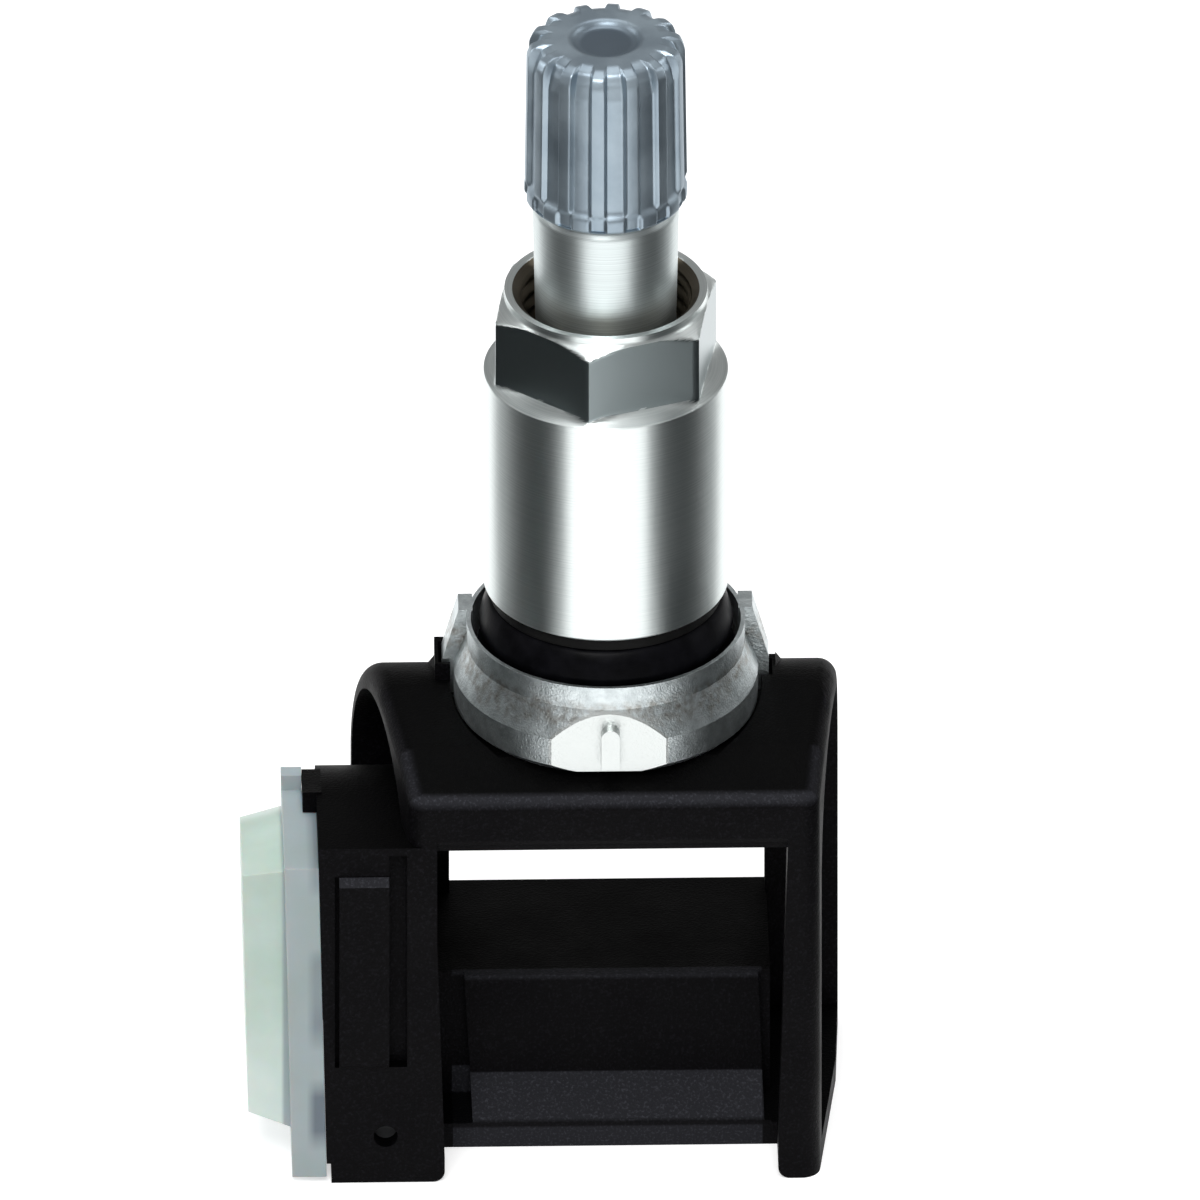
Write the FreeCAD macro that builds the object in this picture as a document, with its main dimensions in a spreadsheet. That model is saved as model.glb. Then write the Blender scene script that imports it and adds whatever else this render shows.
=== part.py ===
import FreeCAD, Part
import math
import os
import re

import Sketcher

# Tyre pressure sensor on a clamp-in metal valve.
# Origin: on the valve's axis, in the plane where the union nut's foot seats. +Z runs up the valve,
# -Y is the front of the sensor box, and the electronics and their cover lie on the -X side.
# All sizes are in millimetres. A drop is a distance below the origin, a rise one above it.

SIZES = {
    # Clearances
    "running_gap": 0.06,
    "seat_gap": 0.02,
    "loose_gap": 0.2,
    # Union nut
    "nut_flats": 12.0,
    "nut_turn": 20.2,
    "sleeve_radius": 7.12,
    "sleeve_rise": 14.4,
    "hexagon_rise": 19.5,
    "nut_lip": 0.3,
    "nut_bevel": 0.8,
    "nut_thread_start": 11.0,
    "nut_relief": 5.9,
    "nut_mouth": 5.5,
    "foot_bevel": 0.35,
    "sleeve_bevel": 0.15,
    # Slip washer and rubber seal
    "washer_thickness": 0.8,
    "washer_radius": 6.75,
    "seal_radius": 7.45,
    "seal_groove": 0.35,
    "seal_cone": 0.9,
    # Cast foot of the valve
    "rim_drop": 2.55,
    "rim_radius": 8.1,
    "cup_radius": 7.85,
    "cup_foot_radius": 7.6,
    "cup_drop": 5.2,
    "flare_drop": 4.0,
    "foot_radius": 8.85,
    "foot_waist_drop": 5.9,
    "foot_drop": 8.1,
    "foot_edge": 0.45,
    "facet_depth": 8.2,
    "facet_rib": 1.1,
    "facet_rib_side": 0.1,
    "facet_rib_drop": 5.0,
    "lug_width": 1.9,
    "lug_side": 1.9,
    "lug_reach": 9.5,
    "lug_neck": 8.55,
    # Valve stem
    "stem_thread_radius": 4.93,
    "stem_thread_rise": 15.2,
    "stem_neck_rise": 16.6,
    "stem_neck_radius": 4.07,
    "stem_head_radius": 4.27,
    "stem_head_rise": 25.9,
    "stem_top_radius": 3.85,
    "stem_top_rise": 34.8,
    "stem_top_bevel": 0.5,
    "spigot_radius": 3.4,
    "spigot_end": 0.1,
    "core_bore": 2.6,
    "core_step_height": 3.8,
    "core_step_rise": "=core_head_foot - core_step_height",
    "chamber_radius": 2.2,
    "chamber_room": 5.2,
    "chamber_rise": "=barrel_foot - chamber_room",
    "air_radius": 1.6,
    "screw_bore_drop": 2.0,
    # Valve core
    "core_recess": 1.6,
    "core_head_rise": "=stem_top_rise - core_recess",
    "core_head_height": 4.8,
    "core_head_foot": "=core_head_rise - core_head_height",
    "core_slot": 0.7,
    "core_mouth": 0.86,
    "barrel_radius": 1.9,
    "barrel_bore": 1.5,
    "barrel_tail": 3.4,
    "barrel_foot": "=core_step_rise - barrel_tail",
    "barrel_wall": 0.6,
    "core_seal_height": 2.4,
    "core_seal_radius": 2.5,
    "pin_radius": 0.5,
    "pin_recess": 0.6,
    "pin_top": "=stem_top_rise - pin_recess",
    "collar_radius": 1.3,
    "collar_height": 0.5,
    "poppet_radius": 1.45,
    "poppet_height": 0.9,
    "poppet_seal": 0.45,
    "spring_radius": 1.1,
    "spring_wire": 0.26,
    "spring_turns": 5.0,
    "spring_height": 5.4,
    # Cap and its gasket
    "cap_foot_radius": 4.75,
    "cap_top_radius": 4.62,
    "cap_shoulder": 0.85,
    "cap_crown": 0.9,
    "cap_clear": 0.18,
    "cap_foot_rise": "=stem_head_rise + loose_gap",
    "cap_top_rise": "=stem_top_rise + cap_clear + gasket_thickness + seat_gap + cap_crown",
    "cap_dimple_radius": 2.1,
    "cap_dimple_depth": 0.35,
    "cap_count": 14.0,
    "cap_turn": 7.3,
    "groove_width": 0.96,
    "groove_depth": 0.27,
    "groove_splay": 0.1,
    "groove_foot": 0.9,
    "gasket_thickness": 0.8,
    "gasket_radius": 3.7,
    # Retaining screw and its washer
    "screw_radius": 2.45,
    "screw_rise": 2.9,
    "screw_head_radius": 4.0,
    "screw_head_height": 1.7,
    "screw_washer_height": 0.5,
    "screw_air": 0.9,
    "screw_key": 3.0,
    "screw_key_depth": 1.2,
    # Moulded loop
    "base_drop": 35.0,
    "loop_front": 9.5,
    "arch_radius": 9.1,
    "arch_drop": 16.05,
    "loop_wall": 1.5,
    "brow_drop": 9.3,
    "brow_slope": 5.7,
    "brow_slope_drop": 7.8,
    "left_front": 11.52,
    "left_back": 14.9,
    "right_front": 12.18,
    "right_back": 13.7,
    "right_knee": 13.4,
    "knee_depth": 1.5,
    "rim_round": 1.1,
    "bar_drop": 12.5,
    "window_left": 10.2,
    "window_left_foot": 9.56,
    "window_right": 10.4,
    "window_right_foot": 9.83,
    "back_window_left": 8.95,
    "back_window_right": 9.4,
    "back_window_top": 13.8,
    "back_window_rise": 9.3,
    "back_window_drop": "=base_drop - back_window_rise",
    "window_corner": 0.7,
    "post_corner": 0.6,
    "ledge_depth": 4.8,
    "ledge_side": 8.6,
    "ledge_drop": 10.2,
    "pad_gap": 0.22,
    "ear_wall": 0.85,
    "ear_front": 0.5,
    "ear_back": 3.6,
    "ear_drop": 5.9,
    "ear_right_drop": 7.3,
    # Inner block, which holds the circuit board
    "block_left": 10.6,
    "block_right": 9.5,
    "block_back": 8.35,
    "nose_left": 8.31,
    "nose_left_foot": 7.85,
    "nose_right": 8.78,
    "nose_right_foot": 9.1,
    "nose_notch": 0.5,
    "ridge_depth": 2.6,
    "ridge_rise": 9.8,
    "ridge_drop": "=base_drop - ridge_rise",
    "block_foot_depth": 2.9,
    "block_foot_rise": 3.4,
    "block_foot_drop": "=base_drop - block_foot_rise",
    "lip_depth": 5.6,
    "lip_rise": 1.6,
    "lip_drop": "=base_drop - lip_rise",
    "tunnel_floor": "=base_drop - loop_wall",
    # Electronics box on the left
    "box_left": 16.9,
    "box_right": 10.0,
    "box_drop": 12.4,
    "box_round": 12.5,
    "box_wall": 1.3,
    "box_lean": 0.5,
    "box_notch": 0.25,
    "cavity_floor": 11.8,
    "front_pad_left": 15.7,
    "front_pad_right": 12.8,
    "front_pad_proud": 0.5,
    "front_pad_bevel": 0.45,
    "front_pad_top": 14.3,
    "front_pad_rise": 7.8,
    "front_pad_bottom": "=base_drop - front_pad_rise",
    "slot_left": 15.95,
    "slot_right": 11.75,
    "slot_left_depth": 0.65,
    "slot_right_depth": 0.8,
    "slot_top": 12.9,
    "port_side": 13.0,
    "port_rise": 3.1,
    "port_drop": "=base_drop - port_rise",
    "port_radius": 0.7,
    "hook_front": 3.2,
    "hook_back": 0.4,
    "hook_height": 0.9,
    "hook_root": 0.3,
    # Cover
    "cover_flange": 2.0,
    "cover_inset": 1.3,
    "cover_base_gap": 0.4,
    "boss_height": 2.45,
    "boss_inset": 0.9,
    "boss_front": 8.2,
    "boss_rise": 3.0,
    "boss_drop": "=base_drop - boss_rise",
    "boss_draft": 15.0,
    "cover_skin": 0.8,
    "tab_thickness": 1.2,
    "tab_rise": 12.1,
    # Battery and its tabs
    "cell_margin": 5.05,
    "cell_radius": "=(base_drop - box_drop) / 2 - cell_margin",
    "cell_thickness": 2.5,
    "cell_side": 0.65,
    "cell_lower": 0.5,
    "cell_drop": "=(base_drop + box_drop) / 2 + cell_lower",
    "tab_sheet": 0.15,
    "tab_width": 2.4,
    "tab_side": 1.2,
    "tab_step": 3.0,
    "tab_foot": 1.2,
    # Circuit board and what is on it
    "board_thickness": 0.8,
    "board_rise": 4.55,
    "board_drop": "=base_drop - board_rise",
    "board_left": 15.6,
    "board_right": 7.6,
    "board_front": 0.9,
    "board_back": 7.0,
    "block_cavity_front": 1.3,
    "block_cavity_right": 8.1,
    "block_cavity_rise": 8.3,
    "block_cavity_top": "=base_drop - block_cavity_rise",
    "block_cavity_bottom": "=base_drop - box_wall",
    "chip_size": 5.0,
    "chip_height": 2.9,
    "chip_front": 0.7,
    "chip_corner": 0.3,
    "coil_length": 7.4,
    "coil_width": 2.6,
    "coil_height": 2.2,
    "coil_flange": 0.9,
    "coil_side": 4.2,
    "crystal_length": 3.2,
    "crystal_width": 2.5,
    "crystal_height": 0.8,
    "crystal_side": 1.6,
    "capacitor_length": 1.6,
    "capacitor_width": 0.8,
    "capacitor_pitch": 1.6,
    "capacitor_side": 5.2,
    "filter_thickness": 0.3,
    "gasket_tube": 1.1,
    "potting_gap": 0.25,
}
# Counts that no dimension drives
CAPACITORS = 3
PLANES = {"XY": "XY_Plane", "XZ": "XZ_Plane", "YZ": "YZ_Plane"}

doc = FreeCAD.newDocument("tyre_pressure_sensor")
sheet = doc.addObject("Spreadsheet::Sheet", "Sizes")
for row, (alias, number) in enumerate(SIZES.items(), 1):
    sheet.set(f"A{row}", alias.replace("_", " "))
    sheet.set(f"B{row}", str(number))
    sheet.setAlias(f"B{row}", alias)
doc.recompute()

nodes = []


def bound(rule):
    """Turns a rule such as "foot_drop - seat_gap" into an expression on the sheet."""
    return re.sub(r"\b[a-z]+(?:_[a-z]+)+\b", r"Sizes.\g<0>", rule)


def size(rule):
    """The number that a rule gives now."""
    return float(sheet.evalExpression(bound(rule)))


def bind(thing, prop, rule):
    """Ties a property to the sheet."""
    thing.setExpression(prop, bound(rule))


def new_body(label):
    """An empty body that becomes a piece of its own."""
    part = doc.addObject("PartDesign::Body", label)
    part.Label = label
    nodes.append(part)
    return part


def sketch_on(part, plane, level="0"):
    """A sketch on one of the body's own origin planes, moved along that plane's normal to a level."""
    sketch = part.newObject("Sketcher::SketchObject", "outline")
    origin_plane = next(f for f in part.Origin.OriginFeatures if f.Role == PLANES[plane])
    sketch.AttachmentSupport = [(origin_plane, "")]
    sketch.MapMode = "FlatFace"
    # The XZ plane's normal points to -Y
    bind(sketch, "AttachmentOffset.Base.z", f"-({level})" if plane == "XZ" else level)
    return sketch


def pin(sketch, curve, point, axis, rule):
    """Holds one coordinate of a sketch point to a rule."""
    kind = "DistanceX" if axis == "x" else "DistanceY"
    index = sketch.addConstraint(Sketcher.Constraint(kind, -1, 1, curve, point, size(rule)))
    sketch.setExpression(f"Constraints[{index}]", bound(rule))


def draw(sketch, steps):
    """Draws a closed outline. A step is the end of a straight run, (x, y), or the end of an arc,
    (x, y, centre x, centre y, turn, pinned), where turn is 1 for anticlockwise and pinned names
    the end's coordinate that is held: the arc itself gives the other one."""
    ends = [(size(step[0]), size(step[1])) for step in steps]
    first = sketch.GeometryCount
    heads, tails = [], []
    for number, step in enumerate(steps):
        start, end = ends[number - 1], ends[number]
        if len(step) == 2:
            sketch.addGeometry(Part.LineSegment(vector(*start), vector(*end)), False)
            heads.append(1)
            tails.append(2)
            continue
        centre = size(step[2]), size(step[3])
        radius = math.dist(centre, start)
        angles = [math.atan2(y - centre[1], x - centre[0]) for x, y in (start, end)]
        circle = Part.Circle(vector(*centre), FreeCAD.Vector(0, 0, 1), radius)
        anticlockwise = step[4] > 0
        low, high = angles if anticlockwise else angles[::-1]
        if high < low:
            high += 2 * math.pi
        sketch.addGeometry(Part.ArcOfCircle(circle, low, high), False)
        heads.append(1 if anticlockwise else 2)
        tails.append(2 if anticlockwise else 1)
    for number, step in enumerate(steps):
        curve = first + number
        before = (number - 1) % len(steps)
        sketch.addConstraint(
            Sketcher.Constraint("Coincident", first + before, tails[before], curve, heads[number])
        )
        if len(step) > 2:
            pin(sketch, curve, 3, "x", step[2])
            pin(sketch, curve, 3, "y", step[3])
        if len(step) == 2 or step[5] == "x":
            pin(sketch, curve, tails[number], "x", step[0])
        if len(step) == 2 or step[5] == "y":
            pin(sketch, curve, tails[number], "y", step[1])


def draw_circle(sketch, x, y, radius):
    """Draws a circle with its centre and radius held to rules."""
    circle = Part.Circle(vector(size(x), size(y)), FreeCAD.Vector(0, 0, 1), size(radius))
    curve = sketch.addGeometry(circle, False)
    pin(sketch, curve, 3, "x", x)
    pin(sketch, curve, 3, "y", y)
    index = sketch.addConstraint(Sketcher.Constraint("Radius", curve, size(radius)))
    sketch.setExpression(f"Constraints[{index}]", bound(radius))


def vector(x, y):
    """A point of a sketch."""
    return FreeCAD.Vector(x, y, 0)


def rectangle(x_low, y_low, x_high, y_high):
    """The steps of a rectangle."""
    return [(x_low, y_low), (x_high, y_low), (x_high, y_high), (x_low, y_high)]


def between(part, kind, plane, low, high, outlines):
    """Pads or pockets outlines from one level to another, along the plane's normal."""
    sketch = sketch_on(part, plane, f"(({low}) + ({high})) / 2")
    for outline in outlines:
        if isinstance(outline, tuple):
            draw_circle(sketch, *outline)
        else:
            draw(sketch, outline)
    feature = part.newObject(f"PartDesign::{kind}", kind.lower())
    feature.Profile = sketch
    feature.SideType = "Symmetric"
    bind(feature, "Length", f"({high}) - ({low})")
    doc.recompute()
    return feature


def turn_outline(part, kind, steps):
    """Turns an outline, drawn as radius and height, about the valve's axis."""
    sketch = sketch_on(part, "XZ")
    draw(sketch, steps)
    feature = part.newObject(f"PartDesign::{kind}", kind.lower())
    feature.Profile = sketch
    feature.ReferenceAxis = (sketch, ["V_Axis"])
    doc.recompute()


def turned(label, steps):
    """A piece turned from one outline."""
    part = new_body(label)
    turn_outline(part, "Revolution", steps)
    return part


def repeated(part, count, features):
    """Repeats features round the valve's axis."""
    pattern = part.newObject("PartDesign::PolarPattern", "pattern")
    pattern.Originals = features
    z_axis = next(f for f in part.Origin.OriginFeatures if f.Role == "Z_Axis")
    pattern.Axis = (z_axis, [""])
    pattern.Angle = 360
    bind(pattern, "Occurrences", count)
    part.Tip = pattern
    doc.recompute()


def softened(part, kind, amount, chosen):
    """Rounds or bevels the edges of the body that pass a test."""
    base = part.Tip
    names = [f"Edge{n}" for n, edge in enumerate(base.Shape.Edges, 1) if chosen(edge)]
    feature = part.newObject(f"PartDesign::{kind}", kind.lower())
    feature.Base = (base, names)
    bind(feature, "Radius" if kind == "Fillet" else "Size", amount)
    doc.recompute()


def near(value, rule):
    """Whether a coordinate is where a rule puts it."""
    return abs(value - size(rule)) < 0.02


def runs_along(edge, axis):
    """Whether an edge is straight and parallel to an axis."""
    ends = [vertex.Point for vertex in edge.Vertexes]
    if len(ends) != 2:
        return False
    return abs(abs(getattr(ends[1] - ends[0], axis)) - edge.Length) < 0.001


def build_union_nut():
    """Nut with a hexagon above a long plain sleeve, threaded in the upper part of its bore."""
    nut = turned("union_nut", [
        ("sleeve_radius - sleeve_bevel", "0"),
        ("sleeve_radius", "sleeve_bevel"),
        ("sleeve_radius", "sleeve_rise"),
        ("nut_flats / 2 / cos(30)", "sleeve_rise"),
        ("nut_flats / 2 / cos(30)", "hexagon_rise - nut_bevel"),
        ("nut_flats / 2", "hexagon_rise"),
        ("nut_flats / 2 - nut_lip", "hexagon_rise + nut_lip"),
        ("nut_mouth", "hexagon_rise + nut_lip"),
        ("stem_thread_radius + running_gap", "hexagon_rise + nut_lip + stem_thread_radius - nut_mouth"),
        ("stem_thread_radius + running_gap", "nut_thread_start"),
        ("nut_relief", "nut_thread_start - nut_bevel"),
        ("nut_relief", "0"),
    ])
    # The six flats are what is left inside a hexagon
    corners = []
    for corner in range(6):
        turn = f"(nut_turn + {60 * corner + 30})"
        corners.append((f"nut_flats / 2 / cos(30) * sin{turn}", f"-nut_flats / 2 / cos(30) * cos{turn}"))
    between(nut, "Pocket", "XY", "sleeve_rise", "hexagon_rise + nut_lip", [
        ("0", "0", "sleeve_radius * 2"), corners
    ])


def build_washer_and_seal():
    """Slip washer below the nut, and the rubber seal that fills the cup of the valve's foot."""
    turned("slip_washer", rectangle(
        "stem_thread_radius + running_gap", "-washer_thickness", "washer_radius", "-seat_gap"
    ))
    turned("rubber_seal", [
        ("stem_thread_radius + seat_gap", "-cup_drop + seat_gap"),
        ("cup_foot_radius - running_gap", "-cup_drop + seat_gap"),
        ("cup_foot_radius - running_gap", "-cup_drop + seal_cone"),
        ("seal_radius - seal_groove", "-cup_drop + 2 * seal_cone"),
        ("seal_radius", "-rim_drop"),
        ("washer_radius + seal_groove", "-washer_thickness - seal_groove"),
        ("washer_radius", "-washer_thickness - seat_gap"),
        ("stem_thread_radius + seat_gap", "-washer_thickness - seat_gap"),
    ])


def build_valve_foot():
    """Cast foot: a cup for the seal, a milled facet with a rib at the front, and a lug on each side."""
    foot = turned("valve_foot", [
        ("spigot_radius + seat_gap", "-foot_drop"),
        ("foot_radius - foot_edge", "-foot_drop"),
        ("foot_radius", "-foot_drop + foot_edge"),
        ("foot_radius", "-foot_waist_drop"),
        ("rim_radius", "-flare_drop"),
        ("rim_radius", "-rim_drop"),
        ("cup_radius", "-rim_drop"),
        ("cup_foot_radius", "-cup_drop"),
        ("spigot_radius + seat_gap", "-cup_drop"),
    ])
    between(foot, "Pocket", "XZ", "-2 * foot_radius", "-facet_depth", [
        rectangle("-foot_radius", "-foot_drop - foot_edge", "foot_radius", "-rim_drop + foot_edge")
    ])
    rib_left = "facet_rib_side - facet_rib / 2"
    rib_right = "facet_rib_side + facet_rib / 2"
    between(foot, "Pad", "XZ", "-foot_radius", "-facet_depth + foot_edge", [[
        (rib_left, "-foot_drop + foot_edge"),
        (rib_right, "-foot_drop + foot_edge"),
        (rib_right, "-facet_rib_drop - facet_rib / 2"),
        (rib_left, "-facet_rib_drop - facet_rib / 2", "facet_rib_side",
         "-facet_rib_drop - facet_rib / 2", 1, "y"),
    ]])
    for side in ("", "-"):
        between(foot, "Pad", "XZ", "lug_side - lug_width / 2", "lug_side + lug_width / 2", [[
            (f"{side}(cup_radius + cup_foot_radius) / 2", "-rim_drop"),
            (f"{side}lug_neck", "-rim_drop"),
            (f"{side}lug_reach", "-foot_waist_drop"),
            (f"{side}lug_reach", "-foot_drop"),
            (f"{side}(cup_radius + cup_foot_radius) / 2", "-foot_drop"),
        ]])
    turn_outline(foot, "Groove", rectangle("0", "-cup_drop", "cup_foot_radius", "-rim_drop"))


def build_valve_stem():
    """Turned stem: a spigot in the foot, a thread for the nut, a smooth neck and a thread for the cap."""
    turned("valve_stem", [
        ("screw_radius + running_gap", "-foot_drop + spigot_end"),
        ("spigot_radius", "-foot_drop + spigot_end"),
        ("spigot_radius", "-cup_drop"),
        ("stem_thread_radius", "-cup_drop"),
        ("stem_thread_radius", "stem_thread_rise"),
        ("stem_neck_radius", "stem_neck_rise"),
        ("stem_head_radius", "stem_head_rise - stem_top_bevel"),
        ("stem_head_radius - stem_top_bevel / 2", "stem_head_rise"),
        ("stem_top_radius", "stem_head_rise"),
        ("stem_top_radius", "stem_top_rise - stem_top_bevel"),
        ("stem_top_radius - stem_top_bevel", "stem_top_rise"),
        ("core_bore", "stem_top_rise"),
        ("core_bore", "core_step_rise"),
        ("chamber_radius", "core_step_rise"),
        ("chamber_radius", "chamber_rise"),
        ("air_radius", "chamber_rise"),
        ("air_radius", "-screw_bore_drop"),
        ("screw_radius + running_gap", "-screw_bore_drop"),
    ])


def build_valve_core():
    """Screwed-in core: barrel with a sealing sleeve, pin, poppet with its rubber face, and spring."""
    barrel = turned("valve_core_body", [
        ("barrel_bore", "barrel_foot + barrel_wall"),
        ("poppet_radius - barrel_wall + running_gap", "barrel_foot + barrel_wall"),
        ("poppet_radius - barrel_wall + running_gap", "barrel_foot"),
        ("barrel_radius", "barrel_foot"),
        ("barrel_radius", "core_head_foot"),
        ("core_bore - seat_gap", "core_head_foot"),
        ("core_bore - seat_gap", "core_head_rise"),
        ("core_mouth", "core_head_rise"),
        ("core_mouth", "core_head_foot + barrel_wall"),
        ("barrel_bore", "core_head_foot + barrel_wall"),
    ])
    between(barrel, "Pocket", "XY", "core_head_rise - 2 * barrel_wall", "core_head_rise + barrel_wall", [
        rectangle("-core_slot", "-core_bore * 2", "core_slot", "core_bore * 2")
    ])
    turned("valve_core_washer", [
        ("barrel_radius + seat_gap", "core_step_rise + seat_gap"),
        ("chamber_radius", "core_step_rise + seat_gap"),
        ("core_seal_radius", "core_step_rise + core_seal_height / 2"),
        ("core_seal_radius", "core_step_rise + core_seal_height"),
        ("barrel_radius + seat_gap", "core_step_rise + core_seal_height"),
    ])
    seat = "barrel_foot - running_gap"
    collar = "barrel_foot + barrel_wall + spring_height + running_gap"
    turned("valve_core_pin", [
        ("0", f"{seat} - poppet_seal - poppet_height"),
        ("poppet_radius", f"{seat} - poppet_seal - poppet_height"),
        ("poppet_radius", f"{seat} - poppet_seal"),
        ("pin_radius", f"{seat} - poppet_seal"),
        ("pin_radius", collar),
        ("collar_radius", collar),
        ("collar_radius", f"{collar} + collar_height"),
        ("pin_radius", f"{collar} + collar_height"),
        ("pin_radius", "pin_top"),
        ("0", "pin_top"),
    ])
    turned("valve_core_poppet", rectangle(
        "pin_radius + seat_gap", f"{seat} - poppet_seal + seat_gap", "poppet_radius", seat
    ))
    build_spring()


def build_spring():
    """Coil spring that pushes the pin's collar up inside the barrel."""
    helix = doc.addObject("Part::Helix", "spring_line")
    bind(helix, "Pitch", "(spring_height - spring_wire) / spring_turns")
    bind(helix, "Height", "spring_height - spring_wire")
    bind(helix, "Radius", "spring_radius")
    bind(helix, "Placement.Base.z", "barrel_foot + barrel_wall + spring_wire / 2")
    section = doc.addObject("Part::RegularPolygon", "spring_section")
    section.Polygon = 4
    bind(section, "Circumradius", "spring_wire / 2")
    bind(section, "Placement.Base.x", "spring_radius")
    bind(section, "Placement.Base.z", "barrel_foot + barrel_wall + spring_wire / 2")
    section.Placement.Rotation = FreeCAD.Rotation(FreeCAD.Vector(1, 0, 0), 90)
    spring = doc.addObject("Part::Sweep", "valve_core_spring")
    spring.Sections = [section]
    spring.Spine = (helix, [])
    spring.Solid = True
    spring.Frenet = True
    spring.Label = "valve_core_spring"
    nodes.append(spring)


def build_cap():
    """Screw cap with grooves round its side and a dimple in its crown, and the gasket inside it."""
    cap = turned("valve_cap", [
        ("cap_foot_radius - loose_gap", "cap_foot_rise"),
        ("cap_foot_radius", "cap_foot_rise + loose_gap"),
        ("cap_top_radius", "cap_top_rise - cap_shoulder"),
        ("cap_top_radius - cap_shoulder", "cap_top_rise", "cap_top_radius - cap_shoulder",
         "cap_top_rise - cap_shoulder", 1, "x"),
        ("cap_dimple_radius", "cap_top_rise"),
        ("cap_dimple_radius - cap_dimple_depth", "cap_top_rise - cap_dimple_depth"),
        ("0", "cap_top_rise - cap_dimple_depth"),
        ("0", "cap_top_rise - cap_crown"),
        ("stem_top_radius + running_gap", "cap_top_rise - cap_crown"),
        ("stem_top_radius + running_gap", "cap_foot_rise"),
    ])
    # A groove runs half a step beside the rib that faces the front
    turn = "(cap_turn + 180 / cap_count)"
    corners = []
    for across, reach in (
        ("-groove_width / 2", "cap_top_radius - groove_depth"),
        ("groove_width / 2", "cap_top_radius - groove_depth"),
        ("groove_width / 2 + groove_splay", "cap_foot_radius + groove_depth"),
        ("-groove_width / 2 - groove_splay", "cap_foot_radius + groove_depth"),
    ):
        corners.append((f"({reach}) * sin{turn} + ({across}) * cos{turn}",
                        f"({across}) * sin{turn} - ({reach}) * cos{turn}"))
    groove = between(cap, "Pocket", "XY", "cap_foot_rise + groove_foot", "cap_top_rise + cap_shoulder",
                     [corners])
    repeated(cap, "cap_count", [groove])
    gasket_top = "cap_top_rise - cap_crown - seat_gap"
    turned("cap_gasket", rectangle("0", f"{gasket_top} - gasket_thickness", "gasket_radius", gasket_top))


def build_retaining_screw():
    """Hollow screw that pulls the stem's spigot and the foot down on the loop, with its washer."""
    under = "-ledge_drop - screw_washer_height"
    screw = turned("retaining_screw", [
        ("screw_air", f"{under} - screw_head_height"),
        ("screw_head_radius - foot_bevel", f"{under} - screw_head_height"),
        ("screw_head_radius", f"{under} - screw_head_height + foot_bevel"),
        ("screw_head_radius", f"{under}"),
        ("screw_radius", f"{under}"),
        ("screw_radius", "-screw_rise"),
        ("screw_air", "-screw_rise"),
    ])
    corners = []
    for corner in range(6):
        turn = f"({60 * corner})"
        corners.append((f"screw_key / 2 / cos(30) * sin{turn}", f"screw_key / 2 / cos(30) * cos{turn}"))
    floor = f"{under} - screw_head_height"
    between(screw, "Pocket", "XY", f"{floor} - screw_key_depth", f"{floor} + screw_key_depth", [corners])
    turned("screw_washer", rectangle(
        "screw_radius + running_gap", f"{under} + seat_gap", "screw_head_radius", "-ledge_drop"
    ))


def box_section(inset, floor, front="loop_front"):
    """Outline of the electronics box seen from the side: flat brow, then one large round to the back."""
    depth = "(arch_radius - box_round)"
    return [
        (f"-({front})", f"-({floor})"),
        (f"arch_radius - ({inset})", f"-({floor})"),
        (f"arch_radius - ({inset})", "-box_drop - box_round"),
        (depth, f"-box_drop - ({inset})", depth, "-box_drop - box_round", 1, "x"),
        (f"-({front})", f"-box_drop - ({inset})"),
    ]


def build_housing():
    """Moulded loop with its tunnel, windows and inner block, and the electronics box on its left."""
    housing = new_body("housing")
    add_loop(housing)
    add_box(housing)
    add_seat(housing)
    add_front_details(housing)
    round_corners(housing)


def end_side(y, right):
    """Where the loop ends at a depth, on its right or its left."""
    if not right:
        corners = ("-left_front", "-loop_front"), ("-left_back", "arch_radius")
    elif y < size("knee_depth"):
        corners = ("right_front", "-loop_front"), ("right_knee", "knee_depth")
    else:
        corners = ("right_knee", "knee_depth"), ("right_back", "arch_radius")
    (x_low, y_low), (x_high, y_high) = [(size(x), size(y)) for x, y in corners]
    return x_low + (x_high - x_low) * (y - y_low) / (y_high - y_low)


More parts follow.
